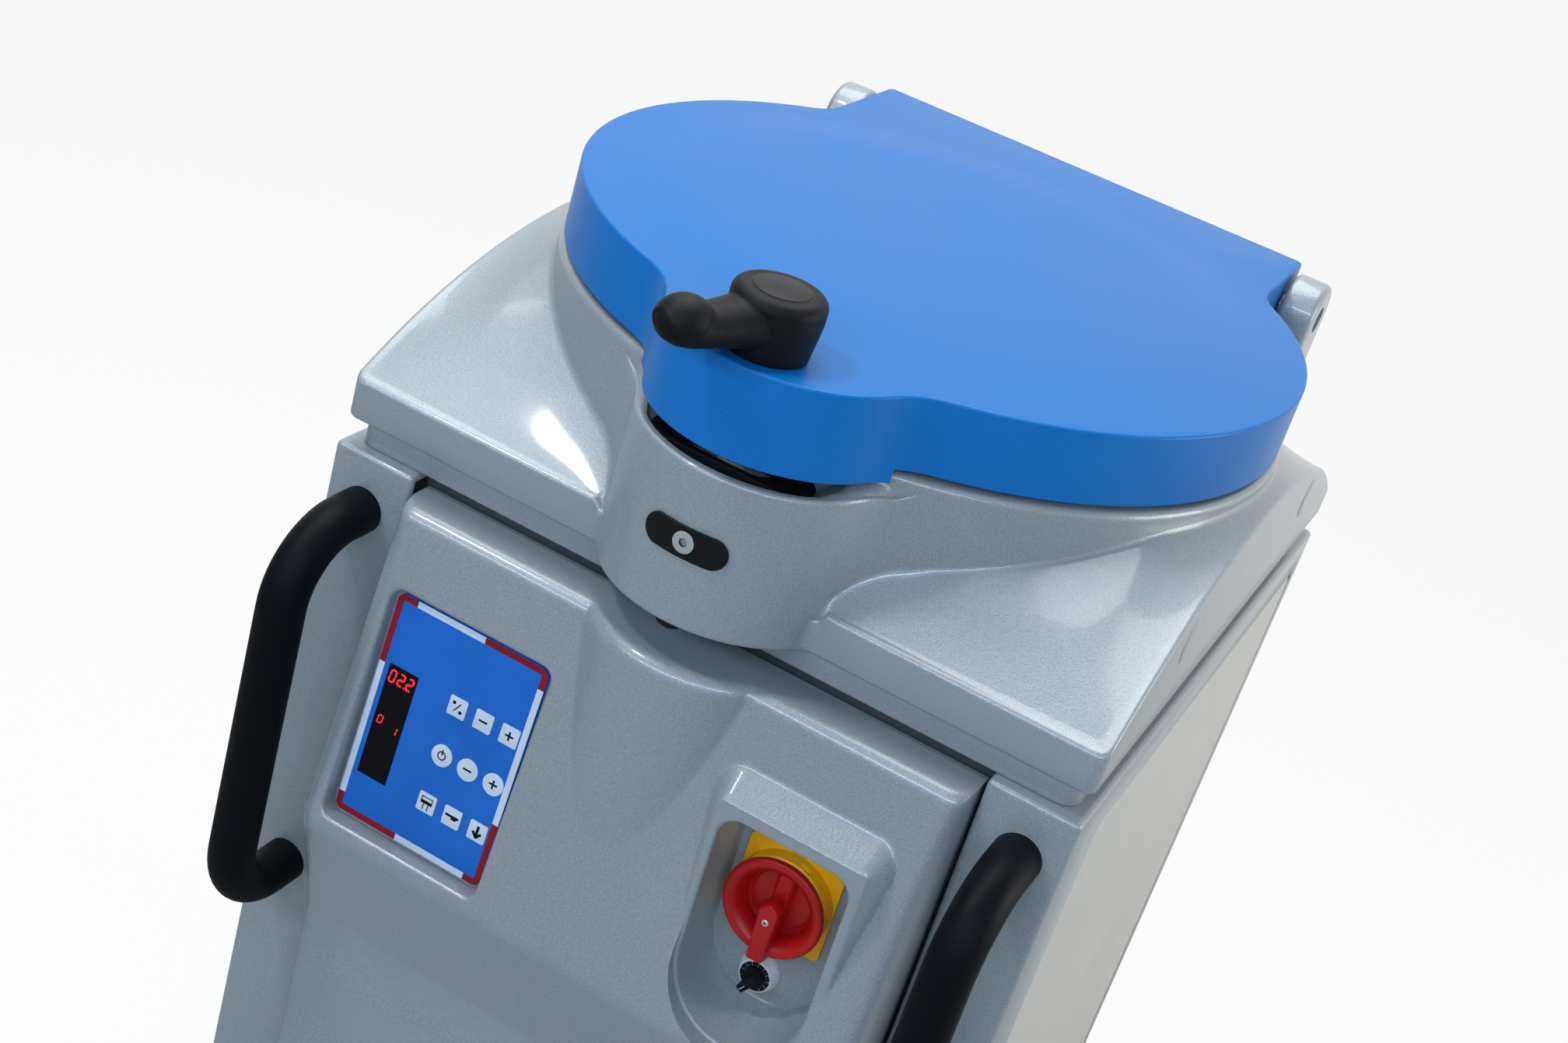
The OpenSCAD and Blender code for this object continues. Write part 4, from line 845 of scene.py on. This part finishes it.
def sideOf(spot):  # side of the keypad that a spot of its border is on, and its share along that side
    w, h = keypad["w"], keypad["h"]
    gaps = dict(top=h / 2 - spot.y, bottom=h / 2 + spot.y, right=w / 2 - spot.x, left=w / 2 + spot.x)
    side = min(gaps, key=gaps.get)
    return side, 0.5 + spot.x / w if side in ("top", "bottom") else 0.5 - spot.y / h


def filmBorder():  # red, with a white stretch on each side
    w, h = keypad["w"], keypad["h"]
    band = sheet(w - border["inset"], h - border["inset"])
    roundCorners(band, band.verts, border["corner"], 8)
    inner = band.faces[:]
    bmesh.ops.inset_region(band, faces=inner, thickness=border["w"], use_even_offset=True, use_boundary=True)
    bmesh.ops.delete(band, geom=inner, context="FACES")
    for side, shares in border["white"].items():
        for share in shares:
            near = [f for f in band.faces if sideOf(f.calc_center_median())[0] == side]
            geom = list({g for f in near for g in [f, *f.edges, *f.verts]})
            if side in ("top", "bottom"):
                sliced(band, ((share - 0.5) * w, 0, 0), (1, 0, 0), geom)
            else:
                sliced(band, (0, (0.5 - share) * h, 0), (0, 1, 0), geom)
    lift(band, band.faces[:], (0, 0, border["t"]))
    faced(band)
    for f in band.faces:
        side, share = sideOf(f.calc_center_median())
        first, last = border["white"][side]
        f.material_index = 2 if first < share < last else 1
    return band


def makeKeypad():
    bm = plate(keypad["w"], keypad["h"], keypad["t"], keypad["corner"], 8, border["edge"])
    bm.transform(padMiddle @ at(0, 0, -keypad["t"]))
    cutters = [moved(keyBlock(i, border["gap"], 8), at(0, 0, -5)) for i in range(1, 10)]
    u, v, w, h = border["window"]
    cutters.append(moved(plate(w, h, 4, 0.5, 2), at(u + w / 2, -v - h / 2, display["low"])))
    bm = carved(bm, *cutters)
    merge(bm, filmBorder(), padMiddle)
    put("keypad_panel", bm, "filmRed", "filmWhite", place=seat @ padPlane)


def addFigure(bm, text, x, y, w, h):  # seven-segment figure with its lower left corner at x, y
    t = h * display["stroke"]
    spots = dict(a=(w / 2, h, 0), g=(w / 2, h / 2, 0), d=(w / 2, 0, 0), f=(0, h * 0.75, 90),
                 b=(w, h * 0.75, 90), e=(0, h * 0.25, 90), c=(w, h * 0.25, 90))
    for name in segmentsOf[text]:
        sx, sy, turn = spots[name]
        long = (h / 2 if turn else w) - t * 0.4
        lean = (sy - h / 2) * display["lean"]
        stroke = bar(long, t, x + sx + lean, y + sy, turn - (display["leanTurn"] if turn else 0), t * 0.45,
                     display["figureT"])
        merge(bm, stroke, at(0, 0, display["figureLow"]), 1)


def makeDisplay():
    u, v, w, h = border["window"]
    bm = plate(w - display["slack"], h - display["slack"], display["t"], 0.4, 2)
    bm.transform(at(u + w / 2, -v - h / 2, display["low"]))
    for text, right, down, wide, high in display["figures"]:
        addFigure(bm, text, u + right, -v - down, wide, high)
    right, down, side = display["dot"]
    merge(bm, bar(side, side, u + right, -v - down, t=display["figureT"]), at(0, 0, display["figureLow"]), 1)
    put("display_window", bm, "litDigits", place=seat @ padPlane)


def keySign(i):  # generic signs
    bm = bmesh.new()
    for mark in signs[i]:
        merge(bm, bar(*mark))
    if i == signRing["key"]:
        r, outer, t = signRing["r"], signRing["outer"], keys["ink"]
        merge(bm, lathe([(r, 0), (outer, 0), (outer, t), (r, t), (r, 0)], 40))
    return bm


def makeKeys():
    for i in range(1, 10):
        bm = keyBlock(i, 0, keys["t"])
        rim = [e for e in edgesAt(bm, keys["t"]) if e.calc_face_angle(0) > 1]
        roundEdges(bm, rim, keys["edge"], 2)
        bm.transform(at(0, 0, keys["proud"] - keys["t"]))
        merge(bm, keySign(i), at(*keySpot(i)[0]) @ at(0, 0, keys["proud"] - keys["inkSink"]), 1)
        put("key_%d" % i, bm, "inkBlack", place=seat @ padPlane)


makeKeypad()
makeDisplay()
makeKeys()
print("keypad made")


# main switch: yellow plate and collar, red dished knob with a pointed grip
switch = dict(x=119.2, y=-1, z=-147, side=69, t=2.5, corner=4, edge=0.8, collarR=34, collarIn=27, collarH=14,
              collarStep=1.2, slip=0.4, slots=6, slotTurn=15, slotW=9, slotH=5, rimR=35.5, rimIn=30.6,
              rimH=5.5, rimTop=2.3, rimLow=1.6, dishR=25.2, dishDepth=16.5, gripH=3.2, gripRoot=1.25,
              gripHeel=2.5, grip=((0, 5.6), (6.6, -0.6), (5.4, -39.6), (-5.4, -39.6), (-6.6, -0.6)),
              fin=((-7.5, -23), (7.5, -23), (8.2, 21), (-8.2, 21)), finH=8, finTaper=0.55, finDrop=2.2,
              screwY=-8.5, screwR=2.4, crossW=2.6, crossD=0.6)
switchPlane = at(switch["x"], switch["y"], switch["z"]) @ upright


def makeSwitchPlate():
    bm = plate(switch["side"], switch["side"], switch["t"], switch["corner"], 6, switch["edge"])
    r, q, t = switch["collarR"], switch["collarIn"], switch["t"]
    top, neck = t + switch["collarH"], r - switch["collarStep"]
    collar = lathe([(q, t - 1), (r, t - 1), (r, top - 3), (neck, top - 2.2), (neck, top), (q, top),
                    (q, t - 1)], 96)
    roundEdges(collar, rings(collar, neck, top) + rings(collar, q, top), 0.6, 2)
    cutters = []
    for i in range(switch["slots"]):
        slot = plate(switch["slotH"], switch["slotW"], 6, 0.6, 2)
        around = turned(switch["slotTurn"] + 360 * i / switch["slots"], "Z")
        cutters.append(moved(slot, around @ at(r - 3.5, 0, top - 6) @ turned(90, "Y")))
    merge(bm, carved(collar, *cutters))
    put("switch_plate", bm, place=seat @ switchPlane)


def makeSwitchKnob():
    rim = switch["t"] + switch["collarH"] + switch["slip"]
    top = rim + switch["rimH"]
    inner = switch["collarIn"] - switch["slip"]
    foot = switch["t"] + switch["slip"]
    deep = top - switch["dishDepth"]
    rimR, rimIn, dishR = switch["rimR"], switch["rimIn"], switch["dishR"]
    knob = lathe([(0, foot), (inner, foot), (inner, rim), (rimR, rim), (rimR, top), (rimIn, top),
                  (dishR, rim + 0.5), (dishR - 2, deep + 2.5), (dishR - 5, deep), (0, deep)], 96)
    roundEdges(knob, rings(knob, rimR, top) + rings(knob, rimIn, top), switch["rimTop"], 5)
    roundEdges(knob, rings(knob, rimR, rim), switch["rimLow"], 3)
    face = top + switch["gripH"]
    grip = prism(switch["grip"], rim, face - rim)
    for v in grip.verts:  # the blade widens to its root
        if v.co.z < rim + tiny:
            v.co.x *= switch["gripRoot"]
            v.co.y += switch["gripHeel"] if v.co.y > -5 else 0
    roundEdges(grip, grip.edges, 0.9, 2)
    merge(knob, grip)
    fin = prism(switch["fin"], deep - 1, switch["finH"])  # rib across the dish's floor
    for v in fin.verts:
        if v.co.z > deep:
            v.co.x *= switch["finTaper"]
            v.co.z -= switch["finDrop"] if v.co.y > 0 else 0
    roundEdges(fin, fin.edges, 1.0, 2)
    merge(knob, fin)
    r, y = switch["screwR"], switch["screwY"]
    merge(knob, lathe([(0, 0), (r, 0), (r, 0.5), (r - 0.5, 0.9), (0, 0.9)], 24), at(0, y, face - 0.35), 1)
    # the black cross on the screw head is painted shade standing for its cross recess
    for turn in (20, 110):
        merge(knob, bar(switch["crossW"], switch["crossD"], 0, y, turn, t=0.12), at(0, 0, face + 0.5), 2)
    put("switch_knob", knob, "boltSteel", "inkBlack", place=seat @ switchPlane)


makeSwitchPlate()
makeSwitchKnob()


# speed dial: silver bezel, black face with a plain scale, black pointer knob
dial = dict(x=119.2, y=-1, z=-211, r=14.8, topR=11.8, faceR=11, rim=2, rimEdge=1.2, h=8, sink=1, faceT=0.25,
            pinR=3, pinLow=-5, slip=0.4, fit=0.05, knobR=7.5, knobH=13, pointerW=5.5, pointerH=9, turn=145,
            ribs=5, ribStep=2.6, scaleR=8.2, ticks=20, tick=(1.3, 0.8), tickW=0.22, tickT=0.05, figureR=9.9,
            figure=1.7, first=-145, span=290)
dialPlane = at(dial["x"], dial["y"], dial["z"]) @ upright


def flatText(text, size):  # figures as a flat mesh
    curve = bpy.data.curves.new("figure", "FONT")
    curve.body, curve.size = text, size
    curve.align_x, curve.align_y = "CENTER", "CENTER"
    curve.extrude, curve.resolution_u = 0.03, 2
    obj = bpy.data.objects.new("figure", curve)
    scene.collection.objects.link(obj)
    return taken(obj)


def makeDialBezel():
    r, h, pin, faceR = dial["r"], dial["h"], dial["pinR"], dial["faceR"]
    face = h - dial["sink"]
    bm = lathe([(pin, 0), (r, 0), (r, dial["rim"]), (dial["topR"], h), (faceR, h), (faceR, face), (pin, face),
                (pin, 0)], 72)
    roundEdges(bm, rings(bm, r, dial["rim"]), dial["rimEdge"], 3)
    inner, t = faceR - dial["fit"], dial["faceT"]
    merge(bm, lathe([(pin, 0), (inner, 0), (inner, t), (pin, t), (pin, 0)], 72), at(0, 0, face), 1)
    for i in range(dial["ticks"] + 1):  # a figure at every other tick
        around = turned(90 - dial["first"] - dial["span"] * i / dial["ticks"], "Z")
        tick = bar(dial["tick"][i % 2], dial["tickW"], corner=0.05, t=dial["tickT"])
        merge(bm, tick, around @ at(dial["scaleR"], 0, face + t - 0.01), 2)
        if i % 2 == 0:
            place = around @ at(dial["figureR"], 0, face + t + 0.01) @ turned(-90, "Z")
            merge(bm, flatText(str(i // 2), dial["figure"]), place, 2)
    put("dial_bezel", bm, "inkBlack", "filmWhite", place=seat @ dialPlane)


def makeDialKnob():
    foot = dial["h"] - dial["sink"] + dial["slip"]
    pin, r, wide = dial["pinR"] - dial["fit"], dial["knobR"], dial["pointerW"]
    top = foot + dial["knobH"]
    base = top - dial["pointerH"]
    knob = lathe([(0, dial["pinLow"]), (pin, dial["pinLow"]), (pin, foot), (r, foot), (r, base),
                  (0, base)], 48)
    roundEdges(knob, rings(knob, r, base), 0.6, 2)
    merge(knob, plate(wide, 2 * r, dial["knobH"], 0.9, 3, 0.5), at(0, 0, foot))
    for i in range(dial["ribs"]):  # grip ribs along the blade
        y = (i - dial["ribs"] // 2) * dial["ribStep"]
        for side in (-1, 1):
            merge(knob, plate(0.5, 1.0, dial["pointerH"] - 0.8, 0.2, 2), at(side * wide / 2, y, base))
    merge(knob, bar(0.5, r - 2, 0, r / 2 + 0.2, t=0.06), at(0, 0, top - 0.02), 1)
    put("dial_knob", knob, "filmWhite", place=seat @ dialPlane @ turned(dial["turn"], "Z"))


makeDialBezel()
makeDialKnob()
print("switch and dial made")


# black tube handles on the posts
handle = dict(x=247, drop=40, h=298, out=71, r=16.5, bend=50, bendSteps=14, segments=40, sink=0.2)


def makeHandle(node, side):
    bm = bmesh.new()
    x, top, bend = handle["x"], -handle["drop"], handle["bend"]
    leg = handle["out"] - bend
    straight = handle["h"] - 2 * bend
    bmesh.ops.create_circle(bm, cap_ends=True, radius=handle["r"], segments=handle["segments"],
                            matrix=at(x, -handle["sink"], top) @ upright)
    faces = bm.faces[:]

    def carry(faces, dvec=(0, 0, 0), centre=(0, 0, 0)):  # straight on by dvec, or round a bend's centre
        geom = faces + list({e for f in faces for e in f.edges}) + list({v for f in faces for v in f.verts})
        isBend = any(centre)
        made = bmesh.ops.spin(bm, geom=geom, cent=centre, axis=(1, 0, 0), dvec=dvec,
                              angle=math.pi / 2 if isBend else 0, steps=handle["bendSteps"] if isBend else 1)
        return [g for g in made["geom_last"] if isinstance(g, bmesh.types.BMFace)]

    faces = carry(faces, (0, handle["sink"] - leg, 0))
    faces = carry(faces, centre=(x, -leg, top - bend))
    faces = carry(faces, (0, 0, -straight))
    faces = carry(faces, centre=(x, -leg, top - bend - straight))
    carry(faces, (0, leg - handle["sink"], 0))
    bmesh.ops.scale(bm, vec=(side, 1, 1), verts=bm.verts)
    put(node, faced(bm))


makeHandle("left_handle", -1)
makeHandle("right_handle", 1)


# locking lever: flared hub, arm and ball in one moulding, with a flush cap
lever = dict(y=-8, z=196.0, turn=-24, footR=26.5, hubR=29.5, flareZ=24, hubH=39.5, hubRound=7, length=68,
             ball=(16.5, 18.2, 14.5), ballZ=23.7, voxel=0.9, smooth=6, capR=19, capLow=-3,
             arm=((4, 20, 17, 24), (20, 20, 16, 21.5), (36, 19.2, 14, 18), (52, 18.4, 12.6, 16.5),
                  (64, 18.8, 12.6, 16), (74, 20.5, 12.2, 15.2), (81, 22.6, 10.6, 13), (85, 24, 6, 8)))
leverPlane = at(0, lever["y"], lever["z"]) @ turned(lever["turn"], "Z")


def makeLever():
    hubR, h = lever["hubR"], lever["hubH"]
    bm = lathe([(0, 0), (lever["footR"], 0), (hubR, lever["flareZ"]), (hubR, h), (0, h)], 72)
    roundEdges(bm, rings(bm, hubR, h), lever["hubRound"], 6)
    arm = bmesh.new()
    bmesh.ops.create_circle(arm, cap_ends=True, radius=1, segments=32, matrix=upright)
    faces = arm.faces[:]
    for i in range(1, len(lever["arm"])):
        faces = lift(arm, faces, (0, -1, 0), i == 1)
    for v in arm.verts:  # each section is an ellipse at its place along the arm
        along, high, tall, wide = lever["arm"][round(-v.co.y)]
        v.co = (v.co.x * wide, -along, high + v.co.z * tall)
    merge(bm, faced(arm))
    ball = bmesh.new()
    bmesh.ops.create_uvsphere(ball, u_segments=40, v_segments=24, radius=1)
    bmesh.ops.scale(ball, vec=lever["ball"], verts=ball.verts)
    merge(bm, ball, at(0, -lever["length"], lever["ballZ"]))
    block = solidObject("leverBlock", bm)
    remesh = block.modifiers.new("remesh", "REMESH")
    remesh.mode, remesh.voxel_size, remesh.use_smooth_shade = "VOXEL", lever["voxel"], True
    soften = block.modifiers.new("soften", "SMOOTH")
    soften.factor, soften.iterations = 0.5, lever["smooth"]
    put("lock_lever", taken(block), place=seat @ leverPlane, sharp=60)

    r, low = lever["capR"], lever["capLow"]
    groove, face = r - 0.35, r - 0.7
    cap = lathe([(0, low), (r + 0.5, low), (r + 0.5, 0.1), (groove, 0.1), (groove, -0.6), (face, -0.6),
                 (face, 0.5), (0, 0.9)], 72)
    roundEdges(cap, rings(cap, face, 0.5), 0.4, 2)
    put("lever_cap", cap, place=seat @ leverPlane @ at(0, 0, h))


makeLever()
print("handles and lever made")


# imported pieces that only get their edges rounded: edge in mm, segments and, for the frames, the outer edge
softEdges = dict(left_side_frame=(1.2, 2, 4.5), right_side_frame=(1.2, 2, 4.5), left_side_panel=(1.6, 2),
                 right_side_panel=(1.6, 2), back_panel=(0.8, 2), cover_tray=(1.5, 3), chassis=(1.5, 3),
                 control_box=(3, 3), oil_tank=(4, 3))
forkEdges = dict(front_left_fork=(0.5, 2), front_right_fork=(0.5, 2), rear_castor_forks=(0.5, 2),
                 front_castor_plates=(0.5, 2))


def softened(node, edge, segments, outer=0.0):
    bm = bmesh.new()
    bm.from_mesh(nodes[node].data)
    bmesh.ops.remove_doubles(bm, verts=bm.verts, dist=tiny * mm)
    bmesh.ops.dissolve_limit(bm, angle_limit=math.radians(0.5), verts=bm.verts, edges=bm.edges)
    low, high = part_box(node)
    close = 0.01 * mm

    def onBox(e):  # along an edge of the piece's box
        a, b = (v.co for v in e.verts)
        hits = [max(abs(p - q), min(abs(p - r), abs(p - s))) < close for p, q, r, s in zip(a, b, low, high)]
        return sum(hits) >= 2

    def sharpEdges(angle=30):
        convex = [e for e in bm.edges if e.is_manifold and e.is_convex]
        return [e for e in convex if e.calc_face_angle() > math.radians(angle)]

    if outer:
        roundEdges(bm, [e for e in sharpEdges() if onBox(e)], outer * mm, 5)
        roundEdges(bm, [e for e in sharpEdges(60) if not onBox(e)], edge * mm, segments)
    else:
        roundEdges(bm, sharpEdges(), edge * mm, segments)
    put(node, bm, place=Matrix.Identity(4), sharp=30)


for node, row in softEdges.items():
    softened(node, *row)
print("frame pieces softened")


# flat plugs in the sides of the top cover
plug = dict(places=((134.5, 75), (430.6, 77)), r=16, proud=0.9, sink=2, edge=1.4, crown=4)


def makePlugs():
    bm = bmesh.new()
    r, top, low = plug["r"], plug["proud"], -plug["sink"]
    outline = [(0, low), (r, low), (r, 0.1), (r - plug["edge"], 0.75 * top), (r - plug["crown"], top),
               (0, top)]
    for side in (-1, 1):
        for y, z in plug["places"]:
            merge(bm, lathe(outline, 64), at(side * cover["half"], y, z) @ turned(90 * side, "Y"))
    put("cover_plugs", bm)


makePlugs()


# hinge blocks with rounded ends, and the heads of their bolts
hinge = dict(y=552, z=166, r=28, t=28, x=188, low=18.8, edge=5, boltR=9.9, boltFit=0.5, boltLen=55,
             boltEnd=210, boltEdge=1.2, socketR=4.6, socketDeep=6)


def makeHinge(node, side):  # drawn in YZ, thick along X
    bm = bmesh.new()
    y, z, r, low = hinge["y"], hinge["z"], hinge["r"], hinge["low"]
    foot, heel, start = [bm.verts.new(p) for p in ((y - r, low, 0), (y + r, low, 0), (y + r, z, 0))]
    end = arcOn(bm, start, (y, z, 0), 180, 28)
    for a, b in ((end, foot), (foot, heel), (heel, start)):
        bm.edges.new((a, b))
    lift(bm, bmesh.ops.contextual_create(bm, geom=bm.edges[:])["faces"], (0, 0, hinge["t"]))
    faced(bm)
    level = [e for e in bm.edges if abs(e.verts[0].co.z - e.verts[1].co.z) < tiny]
    roundEdges(bm, [e for e in level if max(v.co.y for v in e.verts) > low + 1], hinge["edge"], 5)
    bore = rod(hinge["boltR"] + hinge["boltFit"], -5, hinge["t"] + 5, 40)
    bm = carved(bm, moved(bore, at(y, z, 0)))
    stand = Matrix(((0, 0, side, 0), (1, 0, 0, 0), (0, 1, 0, 0), (0, 0, 0, 1)))
    bm.transform(at(side * hinge["x"], 0, 0) @ stand)
    bmesh.ops.recalc_face_normals(bm, faces=bm.faces)
    put(node, bm)


def hexSocket(r, low, high):
    bm = bmesh.new()
    bmesh.ops.create_circle(bm, cap_ends=True, radius=r, segments=6, matrix=at(0, 0, low))
    lift(bm, bm.faces[:], (0, 0, high - low))
    return faced(bm)


def makeHingeBolts():
    bm = bmesh.new()
    long = hinge["boltLen"]
    for side in (-1, 1):
        bolt = rod(hinge["boltR"], 0, long, 40)
        roundEdges(bolt, rings(bolt, hinge["boltR"], long), hinge["boltEdge"], 3)
        bolt = carved(bolt, hexSocket(hinge["socketR"], long - hinge["socketDeep"], long + 2))
        place = at(side * (hinge["boltEnd"] - long), hinge["y"], hinge["z"])
        merge(bm, bolt, place @ turned(90 * side, "Y"))
    put("hinge_bolts", bm)


makeHinge("left_hinge_block", -1)
makeHinge("right_hinge_block", 1)
makeHingeBolts()


# fittings of the nose: striker plate, slotted front plate, screws and buffer
nose = dict(strikerW=112, strikerD=34, strikerT=8, strikerEdge=1.0, slotW=60, slotD=24, y=-8, z=116,
            screwX=43, headR=8, headH=4.4, holeR=4.5, socketR=2.9, socketDeep=3.2, plateW=58, plateD=21,
            plateT=6.5, plateEdge=0.7, plateZ=76, plateOut=2, plateHoleR=3, plateSocketR=3.1, axisY=43, r=87,
            cuts=(-26, 27, 2), bufferR=9.5, bufferH=7, bufferY=-30, bufferTop=18.8)


def screwHead(r, socketR):  # countersunk head with a hexagon socket whose inside is black as painted shade, its top on z 0
    neck, deep = r * 0.5, nose["socketDeep"]
    bm = lathe([(0, -12), (neck, -12), (neck, -nose["headH"]), (r - 0.4, -0.5), (r - 0.2, -0.15),
                (r - 0.5, 0), (0, 0)], 40)
    bm = carved(bm, hexSocket(socketR, -deep, 6 - deep))
    # the socket's inner faces take the second slot, black: painted shade in the recess
    for f in bm.faces:
        spot = f.calc_center_median()
        f.material_index = int(math.hypot(spot.x, spot.y) < socketR + tiny and -deep - 0.1 < spot.z < -0.4)
    return bm


def makeStriker():
    bm = longPlate(nose["strikerW"], nose["strikerD"], nose["strikerT"], nose["strikerEdge"])
    cutters = [moved(longPlate(nose["slotW"], nose["slotD"], 20), at(0, 0, -5))]
    hole, wide = nose["holeR"], nose["headR"] + 0.1
    for side in (-1, 1):
        sink = lathe([(0, -20), (hole, -20), (hole, -nose["headH"]), (wide, 0), (wide, 5), (0, 5)], 40)
        cutters.append(moved(sink, at(side * nose["screwX"], 0, nose["strikerT"])))
    put("striker_plate", carved(bm, *cutters), place=seat @ at(0, nose["y"], nose["z"]))


def makeNosePlate():
    t, outer = nose["plateT"], nose["r"] + nose["plateOut"]
    bm = longPlate(nose["plateW"], nose["plateD"], t, nose["plateEdge"])
    hole, wide = nose["plateHoleR"], nose["headR"] - 0.4
    bm = carved(bm, lathe([(0, -20), (hole, -20), (hole, 1.5), (wide, 6.2), (wide, 12), (0, 12)], 40))
    for x in range(*nose["cuts"]):
        sliced(bm, (x + 0.37, 0, 0), (1, 0, 0))
    for v in bm.verts:  # wraps the plate round the nose
        reach = outer - t + v.co.z
        a = math.asin(v.co.x / outer)
        v.co = (reach * math.sin(a), nose["axisY"] - reach * math.cos(a), nose["plateZ"] + v.co.y)
    put("nose_plate", faced(bm))


def makeCoverScrews():
    bm = bmesh.new()
    for side in (-1, 1):  # the two in the striker plate are black
        spot = at(side * nose["screwX"], nose["y"], nose["z"] + nose["strikerT"] - 0.1)
        merge(bm, screwHead(nose["headR"], nose["socketR"]), spot, 1)
    spot = at(0, nose["axisY"] - nose["r"] - nose["plateOut"] + 0.1, nose["plateZ"]) @ upright
    merge(bm, screwHead(nose["headR"] - 0.5, nose["plateSocketR"]), spot)
    put("cover_screws", bm, "blackPlate")


def makeBuffer():
    r, h = nose["bufferR"], nose["bufferH"]
    bm = lathe([(0, 0), (2.4, 0), (2.6, 1.6), (r - 2.5, 0.2), (r - 0.8, 1.4), (r, 3.2), (r, h), (0, h)], 48)
    put("nose_bumper", bm, place=seat @ at(0, nose["bufferY"], nose["bufferTop"] - h))


makeStriker()
makeNosePlate()
makeCoverScrews()
makeBuffer()
print("hinges and nose fittings made")


# castor wheels: grey tyre with a crowned tread on a dished hub
wheel = dict(r=40, w=32, hubR=24, axleR=7, dish=5, wall=0.6, shoulder=2, edge=1.6)


def makeWheel(node):
    low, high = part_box(node)
    half, hub, r, axle = wheel["w"] / 2, wheel["hubR"], wheel["r"], wheel["axleR"]
    face, dish, side = 1 - half, wheel["dish"] - half, wheel["wall"] - half
    outline = [(axle, face), (axle + 5, face), (axle + 6, dish), (hub - 2, dish), (hub, side),
               (r - wheel["shoulder"], side), (r - 0.4, 5 - half), (r, 10 - half)]
    outline += [(reach, -z) for reach, z in reversed(outline)]
    bm = lathe(outline + [outline[0]], 72)
    corner = r - wheel["shoulder"]
    roundEdges(bm, rings(bm, corner, side) + rings(bm, corner, -side), wheel["edge"], 3)
    for f in bm.faces:
        f.material_index = int(math.hypot(*f.calc_center_median().xy) <= hub - 0.5)
    bm.transform(turned(90, "Y"))
    put(node, bm, "darkSteel", place=Matrix.Translation((low + high) / 2) @ Matrix.Scale(mm, 4))


for end in ("front", "rear"):
    for hand in ("left", "right"):
        makeWheel(end + "_" + hand + "_wheel")
for node, row in forkEdges.items():
    softened(node, *row)
print("castors made")


# plain floor, white backdrop and soft light; lamps as (name, place, aim, size, power, colour)
studio = dict(fill=0.22, fillColour=(0.76, 0.89, 1, 1), dim=0.2, shadow=0.1, floor=(0.8, 0.8, 0.8, 1),
              floorHalf=30, worldSpan=(0.0, 0.8), floorSpan=(0.3, 3.0), white=(1, 1, 1, 1),
              lamps=(("keySoftbox", (-1.2, -1.1, 3.0), (0, -0.1, 0.9), (0.25, 0.25), 18, (0.96, 0.985, 1)),
                     ("topSoftbox", (-0.5, 0.5, 3.2), (0, 0, 0.9), (1.9, 1.9), 54, (1, 1, 1)),
                     ("frontStrip", (0.3, -2.4, 2.2), (0.3, 0, 0.8), (5, 0.16), 62, (0.6, 0.78, 1)),
                     ("rightSoftbox", (2.2, 0.6, 1.2), (0, 0, 0.7), (1, 1), 19, (1, 0.97, 0.92))))


def shownLight(tree, coordName, span):  # white to the camera, and in reflections behind the object
    path = addNode(tree, "ShaderNodeLightPath").outputs
    coords = addNode(tree, "ShaderNodeTexCoord").outputs[coordName]
    away = addNode(tree, "ShaderNodeSeparateXYZ", Vector=coords).outputs["Y"]
    strength = sums(tree, "MAXIMUM", path["Is Camera Ray"], spread(tree, away, studio["dim"], 1, *span))
    bounced = sums(tree, "MAXIMUM", path["Is Glossy Ray"], path["Is Transmission Ray"])
    return strength, sums(tree, "MAXIMUM", path["Is Camera Ray"], bounced)


def mixed(tree, share, first, second, end):
    mix = addNode(tree, "ShaderNodeMixShader")
    for socket, value in zip(mix.inputs, (share, first.outputs[0], second.outputs[0])):
        tree.links.new(value, socket)
    tree.links.new(mix.outputs[0], addNode(tree, end).inputs[0])


def clearTree(data):
    data.use_nodes = True
    data.node_tree.nodes.clear()
    return data.node_tree


def makeStage():
    scene.world = bpy.data.worlds.new("studio")
    tree = clearTree(scene.world)
    strength, seen = shownLight(tree, "Generated", studio["worldSpan"])
    shown = addNode(tree, "ShaderNodeBackground", Color=studio["white"], Strength=strength)
    lit = addNode(tree, "ShaderNodeBackground", Color=studio["fillColour"], Strength=studio["fill"])
    mixed(tree, seen, lit, shown, "ShaderNodeOutputWorld")

    bm = bmesh.new()
    bmesh.ops.create_grid(bm, x_segments=1, y_segments=1, size=studio["floorHalf"])
    floor = solidObject("floor", bm)
    mat = bpy.data.materials.new("floorWhite")
    tree = clearTree(mat)
    strength, seen = shownLight(tree, "Object", studio["floorSpan"])
    glow = addNode(tree, "ShaderNodeEmission", Color=studio["white"], Strength=strength)
    diffuse = addNode(tree, "ShaderNodeBsdfDiffuse", Color=studio["floor"])
    share = sums(tree, "MULTIPLY", seen, 1 - studio["shadow"])
    mixed(tree, share, diffuse, glow, "ShaderNodeOutputMaterial")
    floor.data.materials.append(mat)

    for name, place, aim, size, power, colour in studio["lamps"]:
        data = bpy.data.lights.new(name, "AREA")
        data.shape, data.energy, data.color = "RECTANGLE", power, colour
        data.size, data.size_y = size
        lamp = bpy.data.objects.new(name, data)
        lamp.location = place
        lamp.rotation_euler = (Vector(aim) - Vector(place)).to_track_quat("-Z", "Y").to_euler()
        scene.collection.objects.link(lamp)


makeStage()
scene.view_settings.view_transform = "Standard"
